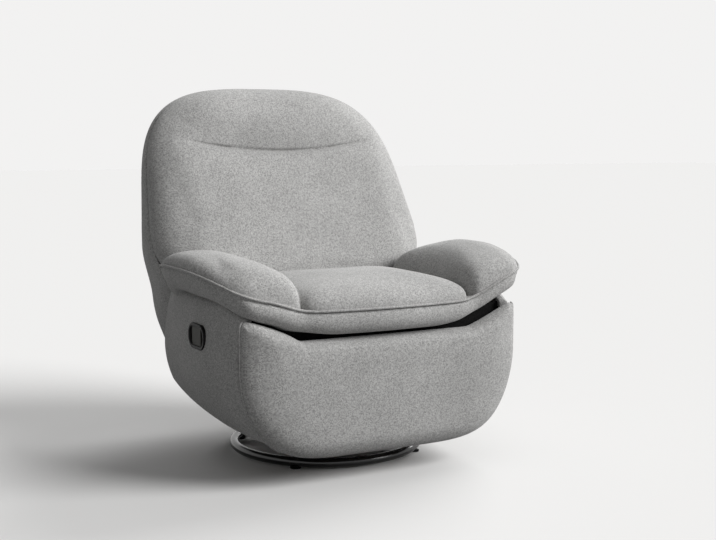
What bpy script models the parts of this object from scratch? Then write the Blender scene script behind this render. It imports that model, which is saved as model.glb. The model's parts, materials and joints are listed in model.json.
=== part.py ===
"""Swivel rocker recliner: a padded tub chair on a round floor ring.

The seat swivels on the base, rocks on a shaft, and carries a leg rest on folding links,
a reclining back and a latch pull. Metres, +Z up; the chair faces -Y and the sitter's left is +X.
The origin is on the floor under the middle of the chair. Lengths below are from the swivel axis.
"""

import math

import bmesh
import bpy
from mathutils import Matrix, Vector

# Driving dimensions
GAP = 0.0003            # between pieces that touch, and round a pin in its hole
SIDE_HALF_W = 0.432     # outside of the side panels, which the widths of the body follow

RING_R = 0.268          # outside radius of the floor ring
RING_TUBE_R = 0.0125
GLIDE_H = 0.004
GLIDE_R = 0.014
SPIDER_T = 0.008
SPIDER_HUB_R = 0.085
SPIDER_ARM_W = 0.040
RACE_R = 0.080
RACE_BORE_R = 0.045
RACE_H = 0.008
PIN_R = 0.012

ROCK_Z = 0.110          # height of the rocker shaft
ROCK_SHAFT_R = 0.008
ROCK_X = 0.110          # inner face of the rocker ears
ROCKER_T = 0.005
TUBE_Z = 0.180          # underside of the cross tubes
TUBE_H = 0.025
TUBE_W = 0.030
TUBE_FRONT_Y = -0.165
TUBE_REAR_Y = 0.090
SPRING_X = 0.075
SPRING_R = 0.0175
SPRING_WIRE_R = 0.0025
SPRING_CURLS = 4

MECH_X = SIDE_HALF_W - 0.132    # inner face of the mechanism plates
PLATE_T = 0.005
LINK_T = 0.004
LINK_STEP = 0.0052      # from one link to the next one outside it
LINK_W = 0.026
LINK_LENGTH = 0.155
DRIVE_Y = -0.200        # drive tube, on the mechanism plates
DRIVE_Z = 0.315
DRIVE_R = 0.010
TILT_Y = -0.285         # cross rod behind the leg rest board
TILT_Z = 0.285
ROD_R = 0.005
RECLINE_Y = 0.105       # recline shaft
RECLINE_Z = 0.365
RECLINE_R = 0.008

RAIL_Z = 0.345          # underside of the seat rails
RAIL_H = 0.030
RAIL_W = 0.032
RAIL_FRONT_Y = -0.300
RAIL_REAR_Y = 0.060
SEAT_WIRE_R = 0.002

SEAT_HALF_W = 0.2345
SEAT_FRONT_Y = -0.385
SEAT_REAR_Y = 0.080
SEAT_BOTTOM_Z = 0.380
SEAT_RIM_Z = 0.436      # the welt along the seat front
SEAT_CROWN = 0.070

ARM_HALF_W = SIDE_HALF_W + 0.038    # outside of the arms
ARM_REAR_Y = 0.088
ARM_FRONT_Y = -0.362
ARM_CROWN = 0.102
ARM_BAND = 0.050
ARM_RIM_CURVE = 1.25    # how fast the welt climbs outward

SIDE_T = 0.028
SIDE_FRONT_Y = -0.3285
SIDE_REAR_Y = 0.200
SIDE_TOP_Z = 0.426
SIDE_MID_Z = 0.300      # widest height; the panel turns under below it
SIDE_TURN_X = SIDE_HALF_W - 0.232   # where the turn would become level
SIDE_FLOOR_Z = 0.060
SIDE_LOW_FRONT_Z = 0.092
SIDE_LOW_REAR_Z = 0.190
FRAME_T = 0.015
FRAME_X = SIDE_HALF_W - SIDE_T - FRAME_T - 0.0403   # inner face of the plywood side frames

PAD_HALF_W = SIDE_HALF_W - 0.034    # padded front panel
PAD_BACK_Y = -0.330
PAD_T = 0.053
PAD_TOP_Z = 0.362
PAD_HORN_Z = 0.420
PAD_BOTTOM_Z = 0.060
BOARD_T = 0.015
BOARD_HALF_W = PAD_HALF_W - 0.073

BACK_TOP_Z = 1.006
BACK_MID_Z = 0.700
BACK_CUSHION_Z = 0.432  # underside of the back cushion
BACK_COVER_Z = 0.200    # lower edge of the outside back
BACK_HALF_W = 0.423
BACK_LOW_HALF_W = SIDE_HALF_W - 0.042
BACK_HOOD_Y = 0.170     # how far forward the outside back reaches below the cushion
BACK_PADDING = 0.087    # of the cushion in front of the seam, at SEAM_Z
BACK_REAR_Y = 0.485
SEAM_Y = 0.362          # side seam, at SEAM_Z
SEAM_Z = 0.845
SEAM_LEAN = 0.45
COVER_T = 0.012
HEAD_SEAM_Z = 0.820
HEAD_SEAM_HALF_W = 0.285
POST_T = 0.026
POST_W = 0.035

LATCH_Y = -0.130
LATCH_Z = 0.360
LATCH_L = 0.115
LATCH_H = 0.070
LATCH_DEPTH = 0.034
POCKET_L = 0.091
POCKET_H = 0.048
POCKET_DEPTH = 0.026
FLAP_T = 0.004

CENTRE_Y = (SEAT_FRONT_Y + BACK_REAR_Y) / 2 - 0.004
PIN_DRIVE = (DRIVE_Y, DRIVE_Z)
PIN_TILT = (TILT_Y, TILT_Z)
PIN_RECLINE = (RECLINE_Y, RECLINE_Z)
SIDES = (("left", 1), ("right", -1))


# Scene, finishes and the empties that carry each moving group
for old in list(bpy.data.objects):
    bpy.data.objects.remove(old, do_unlink=True)

PARTS = bpy.data.collections.new("swivel_rocker_recliner")
CUTTERS = bpy.data.collections.new("cutters")
bpy.context.scene.collection.children.link(PARTS)
bpy.context.scene.collection.children.link(CUTTERS)

FINISHES = {
    "fabric": ((0.30, 0.31, 0.33), 0.90, 0.0),
    "wood": ((0.52, 0.36, 0.20), 0.60, 0.0),
    "black_metal": ((0.012, 0.012, 0.013), 0.25, 0.0),
    "steel": ((0.45, 0.46, 0.48), 0.35, 1.0),
    "black_plastic": ((0.015, 0.015, 0.016), 0.40, 0.0),
}


def finish(kind, name):
    colour, rough, metal = FINISHES[kind]
    made = bpy.data.materials.new(f"{name}_{kind}")
    made.use_nodes = True
    surface = made.node_tree.nodes["Principled BSDF"]
    surface.inputs["Base Color"].default_value = (*colour, 1.0)
    surface.inputs["Roughness"].default_value = rough
    surface.inputs["Metallic"].default_value = metal
    made.diffuse_color = (*colour, 1.0)
    return made


def axis_empty(name, location, parent):
    """An empty on a joint's axis, at a place measured from the swivel axis."""
    empty = bpy.data.objects.new(name, None)
    empty.empty_display_size = 0.05
    PARTS.objects.link(empty)
    empty.parent = parent
    start = parent.get("place", (0.0, 0.0, 0.0)) if parent else (0.0, 0.0, 0.0)
    empty.location = Vector(location) - Vector(start)
    empty["place"] = location
    return empty


def elbow(start, end, length):
    """The lower corner of two equal links between two pins, in (y, z)."""
    span = Vector((end[0] - start[0], end[1] - start[1]))
    rise = math.sqrt(max(length ** 2 - (span.length / 2) ** 2, 1e-6))
    square = Vector((-span.y, span.x)).normalized()
    if square.y > 0:
        square = -square
    corner = Vector(start) + span / 2 + square * rise
    return (corner.x, corner.y)


PIN_ELBOW = elbow(PIN_DRIVE, PIN_TILT, LINK_LENGTH)
FLAP_HINGE_Y = LATCH_Y + POCKET_L / 2 - 0.015
FLAP_HINGE_X = -(SIDE_HALF_W + 0.0005 - 0.006)

BASE = axis_empty("base_place", (0.0, 0.0, 0.0), None)
BASE.location = (0.0, -CENTRE_Y, 0.0)
SWIVEL = axis_empty("swivel_axis", (0.0, 0.0, RACE_H), BASE)
ROCK = axis_empty("rock_axis", (0.0, 0.0, ROCK_Z), SWIVEL)
BACK = axis_empty("recline_axis", (0.0, *PIN_RECLINE), ROCK)
DRIVE = axis_empty("footrest_drive_axis", (0.0, *PIN_DRIVE), ROCK)
FOLD = axis_empty("footrest_fold_axis", (0.0, *PIN_ELBOW), DRIVE)
TILT = axis_empty("footrest_tilt_axis", (0.0, *PIN_TILT), FOLD)
LATCH = axis_empty("latch_axis", (FLAP_HINGE_X, FLAP_HINGE_Y, LATCH_Z), ROCK)
bpy.context.view_layer.update()
CHAIR = BASE.matrix_world.copy()


# Shared ways of making a piece
def add(name, data, group, kind):
    """Link a piece whose local axes are those of the chair, and hang it on its group's empty."""
    obj = bpy.data.objects.new(name, data)
    PARTS.objects.link(obj)
    data.materials.append(finish(kind, name))
    obj.parent = group
    obj.matrix_parent_inverse = group.matrix_world.inverted() @ CHAIR
    return obj


def mesh_from(bm, name, smooth=False):
    bmesh.ops.recalc_face_normals(bm, faces=bm.faces)
    if bm.calc_volume(signed=True) < 0:
        bmesh.ops.reverse_faces(bm, faces=bm.faces)
    for face in bm.faces:
        face.smooth = smooth
    mesh = bpy.data.meshes.new(name)
    bm.to_mesh(mesh)
    bm.free()
    return mesh


def bar(name, size, centre, group, kind, lean=0.0):
    """A straight bar of rectangular section."""
    bm = bmesh.new()
    bmesh.ops.create_cube(bm, size=1.0, matrix=Matrix.Diagonal((*size, 1.0)))
    obj = add(name, mesh_from(bm, name), group, kind)
    obj.location = centre
    obj.rotation_euler = (lean, 0.0, 0.0)
    return obj


def rod(name, radius, half_length, place, group, kind, segments=16):
    """A round bar along X through a point in (y, z)."""
    bm = bmesh.new()
    bmesh.ops.create_cone(bm, cap_ends=True, segments=segments, radius1=radius,
                          radius2=radius, depth=2 * half_length,
                          matrix=Matrix.Rotation(math.pi / 2, 4, "Y"))
    obj = add(name, mesh_from(bm, name), group, kind)
    obj.location = (0.0, *place)
    return obj


def turned(name, profile, centre, group, kind, steps=32):
    """A turned piece: a profile of (radius, height), given from its top down, swept about Z."""
    bm = bmesh.new()
    verts = [bm.verts.new((radius, 0.0, height)) for radius, height in profile]
    closed = profile[0][0] > 1e-6
    loop = verts + verts[:1] if closed else verts
    for first, second in zip(loop, loop[1:]):
        bm.edges.new((first, second))
    mesh = bpy.data.meshes.new(name)
    bm.to_mesh(mesh)
    bm.free()
    obj = add(name, mesh, group, kind)
    obj.location = centre
    screw = obj.modifiers.new("turn", "SCREW")
    screw.axis = "Z"
    screw.steps = steps
    screw.render_steps = steps
    screw.use_merge_vertices = True
    screw.merge_threshold = 0.0001
    return obj


def circle(centre, radius, count=16):
    return [(centre[0] + radius * math.cos(math.tau * i / count),
             centre[1] + radius * math.sin(math.tau * i / count)) for i in range(count)]


def rounded(outline, radius, steps=4):
    """An outline with each corner turned into an arc that keeps clear of its neighbours."""
    points = []
    for i, corner in enumerate(outline):
        here = Vector(corner)
        before = Vector(outline[i - 1]) - here
        after = Vector(outline[(i + 1) % len(outline)]) - here
        half = before.angle(after) / 2
        cut = min(radius / math.tan(half), 0.45 * before.length, 0.45 * after.length)
        reach = cut * math.tan(half)
        centre = here + (before.normalized() + after.normalized()).normalized() * (
            reach / math.sin(half))
        first = here + before.normalized() * cut - centre
        turn = math.pi - 2 * half
        side = 1 if before.cross(after) < 0 else -1
        for k in range(steps + 1):
            swing = Matrix.Rotation(side * turn * k / steps, 2)
            points.append(tuple(centre + swing @ first))
    return points


def outline_curve(name, outline, holes, thickness):
    curve = bpy.data.curves.new(name, "CURVE")
    curve.dimensions = "2D"
    curve.fill_mode = "BOTH"
    curve.extrude = thickness / 2
    for loop in (outline, *holes):
        spline = curve.splines.new("POLY")
        spline.points.add(len(loop) - 1)
        for point, (a, b) in zip(spline.points, loop):
            point.co = (a, b, 0.0, 1.0)
        spline.use_cyclic_u = True
    return curve


TO_YZ = (math.pi / 2, 0.0, math.pi / 2)   # turns a flat outline so that it lies in Y and Z
TO_XZ = (math.pi / 2, 0.0, 0.0)


def plate(name, outline, holes, inner_x, thickness, side, group, kind):
    """A flat plate in Y and Z whose inner face is inner_x from the middle of the chair."""
    obj = add(name, outline_curve(name, outline, holes, thickness), group, kind)
    obj.rotation_euler = TO_YZ
    obj.location = (side * (inner_x + thickness / 2), 0.0, 0.0)
    return obj


def solid_plate(name, outline, thickness, turn):
    """The same as a welded mesh, for a piece that is cut or that cuts."""
    scratch = bpy.data.objects.new(name, outline_curve(name, outline, (), thickness))
    CUTTERS.objects.link(scratch)
    bpy.context.view_layer.update()
    ready = scratch.evaluated_get(bpy.context.evaluated_depsgraph_get())
    mesh = bpy.data.meshes.new_from_object(ready)
    bpy.data.objects.remove(scratch, do_unlink=True)
    bm = bmesh.new()
    bm.from_mesh(mesh)
    bmesh.ops.remove_doubles(bm, verts=bm.verts, dist=1e-6)
    bmesh.ops.transform(bm, matrix=turn, verts=bm.verts)
    bpy.data.meshes.remove(mesh)
    return mesh_from(bm, name)


def cut(obj, mesh):
    """Take a mesh, given on the chair's axes, out of a piece."""
    tool = bpy.data.objects.new(f"{obj.name}_cutter", mesh)
    CUTTERS.objects.link(tool)
    tool.matrix_world = CHAIR
    tool.hide_render = True
    tool.display_type = "WIRE"
    boolean = obj.modifiers.new("cut", "BOOLEAN")
    boolean.operation = "DIFFERENCE"
    boolean.solver = "EXACT"
    boolean.object = tool


def wire(name, points, radius, group, kind, resolution=1):
    """A round wire through points, with closed ends."""
    curve = bpy.data.curves.new(name, "CURVE")
    curve.dimensions = "3D"
    curve.bevel_depth = radius
    curve.bevel_resolution = resolution
    curve.use_fill_caps = True
    spline = curve.splines.new("POLY")
    spline.points.add(len(points) - 1)
    for point, place in zip(spline.points, points):
        point.co = (*place, 1.0)
    return add(name, curve, group, kind)


def cube_strips(cuts, low=-1.0):
    """A cube of -1 to 1 whose sides are cut into strips; low moves its lower v face."""
    bm = bmesh.new()
    bmesh.ops.create_cube(bm, size=2.0)
    for axis, count in enumerate(cuts):
        along = [edge for edge in bm.edges
                 if abs((edge.verts[1].co - edge.verts[0].co).normalized()[axis]) > 0.99]
        bmesh.ops.subdivide_edges(bm, edges=along, cuts=count, use_grid_fill=True)
    for vert in bm.verts:
        vert.co.y = low + (vert.co.y + 1.0) * (1.0 - low) / 2
    return bm


def pillow(u, v, w, corner, edge, share=0.62):
    """Where a cube's point goes on a pillow: across and along its outline, and its depth.

    corner is the outline's roundness and edge that of its section (2 is round, more is squarer);
    v is 1 or -1 on the two faces and 0 at the seam between them.
    """
    reach = max(abs(u), abs(w))
    if reach < 1e-9:
        return 0.0, v, 0.0
    norm = (abs(u) ** corner + abs(w) ** corner) ** (1 / corner)
    if abs(v) < 1e-9:
        radius, depth = reach, 0.0
    else:
        part = reach * share if abs(v) > 1 - 1e-9 else share + (1 - abs(v)) * (1 - share)
        angle = part * math.pi / 2
        radius = math.sin(angle) ** (2 / edge)
        depth = math.copysign(max(math.cos(angle), 0.0) ** (2 / edge), v)
    return u / norm * radius, depth, w / norm * radius


def ease(value):
    value = min(max(value, 0.0), 1.0)
    return value * value * (3 - 2 * value)


# Base: floor ring on glides, the spider inside it, and the swivel's lower race and pin
def base():
    ring_z = GLIDE_H + GAP + RING_TUBE_R
    middle = RING_R - RING_TUBE_R
    section = [(middle + RING_TUBE_R * math.cos(math.tau * i / 10),
                ring_z - RING_TUBE_R * math.sin(math.tau * i / 10)) for i in range(10)]
    turned("base_ring", section, (0.0, 0.0, 0.0), BASE, "black_metal", steps=48)
    for number in range(4):
        angle = math.tau * (number + 0.5) / 4
        spot = (middle * math.cos(angle), middle * math.sin(angle), 0.0)
        turned(f"floor_glide_{number + 1}", [(0.0, GLIDE_H), (GLIDE_R, GLIDE_H),
                                             (GLIDE_R, 0.0), (0.0, 0.0)],
               spot, BASE, "black_plastic", steps=16)

    arm = SPIDER_ARM_W / 2
    inside = (RING_R - 2 * RING_TUBE_R) * math.cos(math.pi / 48) - GAP
    reach = math.sqrt(inside ** 2 - arm ** 2)
    corner = math.sqrt(SPIDER_HUB_R ** 2 - arm ** 2)
    quarter = [(reach, -arm), (reach, arm), (corner, arm)]
    first = math.atan2(arm, corner)
    for step in range(1, 4):
        angle = first + (math.pi / 2 - 2 * first) * step / 4
        quarter.append((SPIDER_HUB_R * math.cos(angle), SPIDER_HUB_R * math.sin(angle)))
    quarter.append((arm, corner))
    outline = []
    for turn in range(4):
        swing = Matrix.Rotation(math.pi / 4 + turn * math.pi / 2, 2)
        outline += [tuple(swing @ Vector(point)) for point in quarter]
    spider = add("base_spider", outline_curve("base_spider", outline, (), SPIDER_T),
                 BASE, "black_metal")
    spider.location = (0.0, 0.0, ring_z)

    top = ring_z + SPIDER_T / 2 + GAP
    race = [(RACE_R, RACE_H), (RACE_R, 0.0), (RACE_BORE_R, 0.0), (RACE_BORE_R, RACE_H)]
    turned("swivel_lower_race", race, (0.0, 0.0, top), BASE, "steel")
    turned("swivel_upper_race", race, (0.0, 0.0, top + RACE_H + GAP), SWIVEL, "steel")
    plate_z = top + 2 * (RACE_H + GAP)
    head_z = plate_z + ROCKER_T + GAP - top
    turned("swivel_pin", [(0.0, head_z + 0.008), (PIN_R * 1.7, head_z + 0.008),
                          (PIN_R * 1.7, head_z), (PIN_R, head_z), (PIN_R, 0.0), (0.0, 0.0)],
           (0.0, 0.0, top), BASE, "steel", steps=20)
    return plate_z


# Rocker: base plate with two ears and a shaft, the arms that rock on it, and four coil springs
def rocker(plate_z):
    half_w = ROCK_X + 0.020
    front = TUBE_FRONT_Y - SPRING_R - 0.006
    rear = TUBE_REAR_Y + SPRING_R + 0.006
    outline = rounded([(-half_w, front), (half_w, front), (half_w, rear), (-half_w, rear)], 0.02)
    hole = circle((0.0, 0.0), PIN_R + 0.0005, 20)
    base_plate = add("rocker_base_plate", outline_curve("rocker_base_plate", outline, [hole],
                                                        ROCKER_T), SWIVEL, "black_metal")
    base_plate.location = (0.0, 0.0, plate_z + ROCKER_T / 2)

    seat_z = plate_z + ROCKER_T + GAP
    shaft = (0.0, ROCK_Z)
    bore = circle(shaft, ROCK_SHAFT_R + GAP)
    ear = rounded([(-0.050, seat_z), (0.050, seat_z), (0.024, ROCK_Z + 0.020),
                   (-0.024, ROCK_Z + 0.020)], 0.008, 2)
    ear[:3] = [(-0.050, seat_z)]
    ear[1:4] = [(0.050, seat_z)]
    front_top = TUBE_FRONT_Y - TUBE_W / 2
    rear_top = TUBE_REAR_Y + TUBE_W / 2
    top = TUBE_Z - GAP
    arm = [(front_top, top), (front_top, top - 0.015), (-0.025, ROCK_Z - 0.018),
           (0.025, ROCK_Z - 0.018), (rear_top, top - 0.015), (rear_top, top)]
    for side_name, side in SIDES:
        plate(f"rocker_ear_{side_name}", ear, [bore], ROCK_X, ROCKER_T, side, SWIVEL,
              "black_metal")
        plate(f"rocker_arm_{side_name}", arm, [bore], ROCK_X + ROCKER_T + 0.0015, ROCKER_T,
              side, ROCK, "black_metal")
    rod("rocker_shaft", ROCK_SHAFT_R, ROCK_X + 2 * ROCKER_T + 0.006, shaft, SWIVEL, "steel")

    low = seat_z + SPRING_WIRE_R
    high = top - SPRING_WIRE_R
    count = 8 * SPRING_CURLS
    for end_name, y in (("front", TUBE_FRONT_Y), ("rear", TUBE_REAR_Y)):
        for side_name, side in SIDES:
            coil = [Vector((side * SPRING_X + SPRING_R * math.cos(math.tau * i / 8),
                            y + SPRING_R * math.sin(math.tau * i / 8),
                            low + (high - low) * i / count)) for i in range(count + 1)]
            wire(f"rocker_spring_{end_name}_{side_name}", coil, SPRING_WIRE_R, SWIVEL, "steel")
    least = min((a - b).length for i, a in enumerate(coil) for b in coil[i + 5:])
    print(f"rocker spring: least gap to itself {(least - 2 * SPRING_WIRE_R) * 1000:.2f} mm")


# Seat frame: cross tubes, mechanism plates, four rails and the zigzag springs under the cushion
def seat_frame():
    for end_name, y in (("front", TUBE_FRONT_Y), ("rear", TUBE_REAR_Y)):
        bar(f"cross_tube_{end_name}", (2 * (FRAME_X - GAP), TUBE_W, TUBE_H),
            (0.0, y, TUBE_Z + TUBE_H / 2), ROCK, "black_metal")

    foot = TUBE_Z + TUBE_H + GAP
    top = RAIL_Z + RAIL_H - 0.010
    ear = 0.022
    y, z = PIN_RECLINE
    outline = [(DRIVE_Y - 0.035, top), (DRIVE_Y - 0.035, DRIVE_Z - 0.045),
               (TUBE_FRONT_Y - TUBE_W / 2 - 0.005, foot), (TUBE_REAR_Y + TUBE_W / 2, foot),
               (y + ear, z - 0.028), (y + ear, z + ear), (y - ear, z + ear), (RAIL_REAR_Y, top)]
    holes = [circle(PIN_DRIVE, DRIVE_R + GAP), circle(PIN_RECLINE, RECLINE_R + GAP)]
    for side_name, side in SIDES:
        plate(f"mechanism_plate_{side_name}", outline, holes, MECH_X, PLATE_T, side, ROCK,
              "black_metal")
    rod("recline_shaft", RECLINE_R, MECH_X + PLATE_T + LINK_STEP + PLATE_T, PIN_RECLINE, ROCK,
        "steel")

    half = MECH_X - GAP
    mid_z = RAIL_Z + RAIL_H / 2
    bar("seat_rail_front", (2 * half, RAIL_W, RAIL_H),
        (0.0, RAIL_FRONT_Y + RAIL_W / 2, mid_z), ROCK, "wood")
    bar("seat_rail_rear", (2 * half, RAIL_W, RAIL_H),
        (0.0, RAIL_REAR_Y - RAIL_W / 2, mid_z), ROCK, "wood")
    inner = RAIL_REAR_Y - RAIL_FRONT_Y - 2 * RAIL_W - 2 * GAP
    for side_name, side in SIDES:
        bar(f"seat_rail_{side_name}", (RAIL_W, inner, RAIL_H),
            (side * (half - RAIL_W / 2), (RAIL_FRONT_Y + RAIL_REAR_Y) / 2, mid_z), ROCK, "wood")

    wire_z = RAIL_Z + RAIL_H + GAP + SEAT_WIRE_R
    start = RAIL_FRONT_Y + RAIL_W / 2
    run = RAIL_REAR_Y - RAIL_W / 2 - start
    for number in range(3):
        x = (number - 1) * 0.6 * SEAT_HALF_W
        points = [(x, start, wire_z)]
        for step in range(1, 14):
            points.append((x + 0.022 * (-1) ** step, start + run * step / 14, wire_z))
        points.append((x, start + run, wire_z))
        wire(f"seat_spring_{number + 1}", points, SEAT_WIRE_R, ROCK, "steel", 0)


# Soft seat: cushion between the arms, both with a crown above the welt and a band below it
def rim_z(x):
    return SEAT_RIM_Z + ARM_RIM_CURVE * max(0.0, abs(x) - 0.200) ** 2


def soft_seat():
    middle = (SEAT_FRONT_Y + SEAT_REAR_Y) / 2
    half = (SEAT_REAR_Y - SEAT_FRONT_Y) / 2
    band = SEAT_RIM_Z - SEAT_BOTTOM_Z
    bm = cube_strips((9, 3, 9))
    for vert in bm.verts:
        u, v, w = vert.co
        a, depth, b = pillow(u, v, w, 12.0, 2.4 if v > 0 else 4.5)
        bow = 0.024 * a ** 2 if b < 0 else 0.0
        vert.co = (a * SEAT_HALF_W, middle + b * (half - bow),
                   SEAT_RIM_Z + depth * (SEAT_CROWN if depth > 0 else band))
    add("seat_cushion", mesh_from(bm, "seat_cushion", True), ROCK, "fabric")

    inner = SEAT_HALF_W + 0.002
    half_w = (ARM_HALF_W - inner) / 2
    centre_x = (ARM_HALF_W + inner) / 2
    centre_y = -0.110
    for side_name, side in SIDES:
        bm = cube_strips((7, 3, 11))
        for vert in bm.verts:
            u, v, w = vert.co
            a, depth, b = pillow(u, v, w, 10.0 if u < 0 else 3.2, 2.2 if v > 0 else 4.5)
            x = centre_x + a * half_w
            front = ARM_FRONT_Y + 0.050 * ((x - inner) / (2 * half_w)) ** 2
            rear = ARM_REAR_Y + 0.045 * ((x - inner) / (2 * half_w)) ** 2
            y = centre_y + b * ((rear - centre_y) if b > 0 else (centre_y - front))
            crown = ARM_CROWN - 0.034 * ease((-0.240 - y) / 0.120) - 0.070 * ease((y + 0.06) / 0.18)
            crown -= 0.032 * max(0.0, (x - centre_x) / half_w) ** 2
            z = rim_z(x) + depth * (crown if depth > 0 else ARM_BAND)
            vert.co = (side * x, y, z)
        name = f"arm_pad_{side_name}"
        add(name, mesh_from(bm, name, True), ROCK, "fabric")


# Side panels: padded shells that turn under at the bottom, with the plywood frame inside each
def side_point(s, t):
    """A point of the outside of a side panel: s runs front to rear and t from the top down."""
    rear = SIDE_REAR_Y - 0.40 * max(0.0, 0.090 - t * 0.300)
    y = SIDE_FRONT_Y + s * (rear - SIDE_FRONT_Y)
    low = SIDE_LOW_FRONT_Z + (SIDE_LOW_REAR_Z - SIDE_LOW_FRONT_Z) * s
    deep = SIDE_MID_Z - SIDE_FLOOR_Z
    if t < 0.3:
        z = SIDE_TOP_Z + (SIDE_MID_Z - SIDE_TOP_Z) * t / 0.3
        x = SIDE_HALF_W - 0.017 * ((z - SIDE_MID_Z) / (SIDE_TOP_Z - SIDE_MID_Z)) ** 2
    else:
        last = math.asin(min((SIDE_MID_Z - low) / deep, 0.99))
        angle = last * (t - 0.3) / 0.7
        z = SIDE_MID_Z - deep * math.sin(angle)
        x = SIDE_TURN_X + (SIDE_HALF_W - SIDE_TURN_X) * math.cos(angle)
    x *= 1 - 0.075 * max(0.0, (y + 0.100) / 0.300) ** 2
    near = max(0.0, 1 - (y - SIDE_FRONT_Y) / 0.070)
    x -= 0.034 * (1 - math.sqrt(1 - min(near, 0.98) ** 2))
    return x, y, z


def side_panels():
    drop = TUBE_Z + 0.010
    rear = TUBE_REAR_Y + TUBE_W / 2
    top = rim_z(FRAME_X) - ARM_BAND - GAP
    front = RAIL_FRONT_Y + 0.020
    outline = [(front, drop), (rear - 0.035, drop), (rear, drop + 0.035), (rear, top),
               (front, top)]
    cable = circle((LATCH_Y, LATCH_Z - 0.015), 0.005, 12)
    for side_name, side in SIDES:
        plate(f"side_frame_{side_name}", outline, [cable] if side < 0 else [], FRAME_X, FRAME_T,
              side, ROCK, "wood")
        bm = bmesh.new()
        bmesh.ops.create_grid(bm, x_segments=9, y_segments=10, size=0.5)
        for vert in bm.verts:
            s = vert.co.x + 0.5
            x, y, z = side_point(1 - (1 - s) ** 0.8 if s < 1 else 1.0, vert.co.y + 0.5)
            vert.co = (side * x, y, z)
        for face in bm.faces:
            face.smooth = True
        if side < 0:
            bmesh.ops.reverse_faces(bm, faces=bm.faces)
        mesh = bpy.data.meshes.new(f"side_panel_{side_name}")
        bm.to_mesh(mesh)
        bm.free()
        panel = add(f"side_panel_{side_name}", mesh, ROCK, "fabric")
        thick = panel.modifiers.new("padding", "SOLIDIFY")
        thick.thickness = SIDE_T
        thick.offset = 1.0
        thick.use_even_offset = True
        if side < 0:
            grow = 2 * GAP
            hole = rounded([(-LATCH_L / 2 - grow, -LATCH_H / 2 - grow),
                            (LATCH_L / 2 + grow, -LATCH_H / 2 - grow),
                            (LATCH_L / 2 + grow, LATCH_H / 2 + grow),
                            (-LATCH_L / 2 - grow, LATCH_H / 2 + grow)], 0.024)
            turn = Matrix.Translation((-SIDE_HALF_W + 0.015, LATCH_Y, LATCH_Z)) @ (
                Matrix(((0, 0, 1), (1, 0, 0), (0, 1, 0))).to_4x4())
            cut(panel, solid_plate("latch_hole", hole, 0.080, turn))


# Latch on the sitter's right: bezel with a finger pocket, the flap in it, and its cable
def latch():
    turn = Matrix(((0, 0, 1), (1, 0, 0), (0, 1, 0))).to_4x4()
    half_l = LATCH_L / 2
    half_h = LATCH_H / 2
    face_x = -(SIDE_HALF_W + 0.0005)
    shape = rounded([(-half_l, -half_h), (half_l, -half_h), (half_l, half_h),
                     (-half_l, half_h)], 0.024)
    mesh = solid_plate("latch_bezel", shape, LATCH_DEPTH, Matrix.Translation(
        (face_x + LATCH_DEPTH / 2, LATCH_Y, LATCH_Z)) @ turn)
    bezel = add("latch_bezel", mesh, ROCK, "black_plastic")
    in_l = POCKET_L / 2
    in_h = POCKET_H / 2
    pocket = rounded([(-in_l, -in_h), (in_l, -in_h), (in_l, in_h), (-in_l, in_h)], 0.010)
    cut(bezel, solid_plate("latch_pocket", pocket, 2 * POCKET_DEPTH, Matrix.Translation(
        (face_x, LATCH_Y, LATCH_Z)) @ turn))

    length = POCKET_L * 0.60
    half_t = FLAP_T / 2
    knuckle = 0.0035
    first = math.asin(half_t / knuckle)
    arc = [(knuckle * math.sin(first + (math.pi - 2 * first) * i / 8 - math.pi / 2),
            knuckle * math.cos(first + (math.pi - 2 * first) * i / 8 - math.pi / 2))
           for i in range(9)]
    outline = arc + [(half_t, -length + half_t), (0.0, -length), (-half_t, -length + half_t)]
    flap = add("latch_flap", outline_curve("latch_flap", outline, (), POCKET_H - 2 * GAP),
               LATCH, "black_plastic")
    flap.location = (FLAP_HINGE_X, FLAP_HINGE_Y, LATCH_Z)

    hole_z = LATCH_Z - 0.015
    behind = face_x + LATCH_DEPTH + GAP
    end_x = -(MECH_X + PLATE_T + GAP)
    points = [(behind, LATCH_Y, hole_z), (behind + 0.010, LATCH_Y, hole_z)]
    points += [(-FRAME_X + 0.006, LATCH_Y, hole_z), (-FRAME_X + 0.018, LATCH_Y, hole_z - 0.002)]
    points += [(-FRAME_X + 0.026, LATCH_Y + 0.004, hole_z - 0.010),
               (-FRAME_X + 0.030, LATCH_Y + 0.008, hole_z - 0.030),
               (end_x - 0.006, LATCH_Y + 0.010, hole_z - 0.042),
               (end_x, LATCH_Y + 0.010, hole_z - 0.042)]
    wire("release_cable", points, 0.003, ROCK, "black_plastic")


# Leg rest: tube and drive links, support links, and the board with its pad and brackets
def link_outline(start, end):
    span = Vector((end[0] - start[0], end[1] - start[1]))
    lean = math.atan2(span.y, span.x)
    points = []
    for centre, turn in ((end, -math.pi / 2), (start, math.pi / 2)):
        for step in range(7):
            angle = lean + turn + math.pi * step / 6
            points.append((centre[0] + LINK_W / 2 * math.cos(angle),
                           centre[1] + LINK_W / 2 * math.sin(angle)))
    return points


def pad_top_z(x):
    return PAD_TOP_Z + (PAD_HORN_Z - PAD_TOP_Z) * ease((abs(x) - 0.190) / 0.190)


def pad_half_w(z):
    down = min(max((SIDE_MID_Z - z) / (SIDE_MID_Z - PAD_BOTTOM_Z), 0.0), 0.995)
    side = math.sqrt(1 - down ** 2)
    return SIDE_TURN_X + (PAD_HALF_W - SIDE_TURN_X) * side - 0.020 * max(0.0, (z - 0.33) / 0.09)


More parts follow.
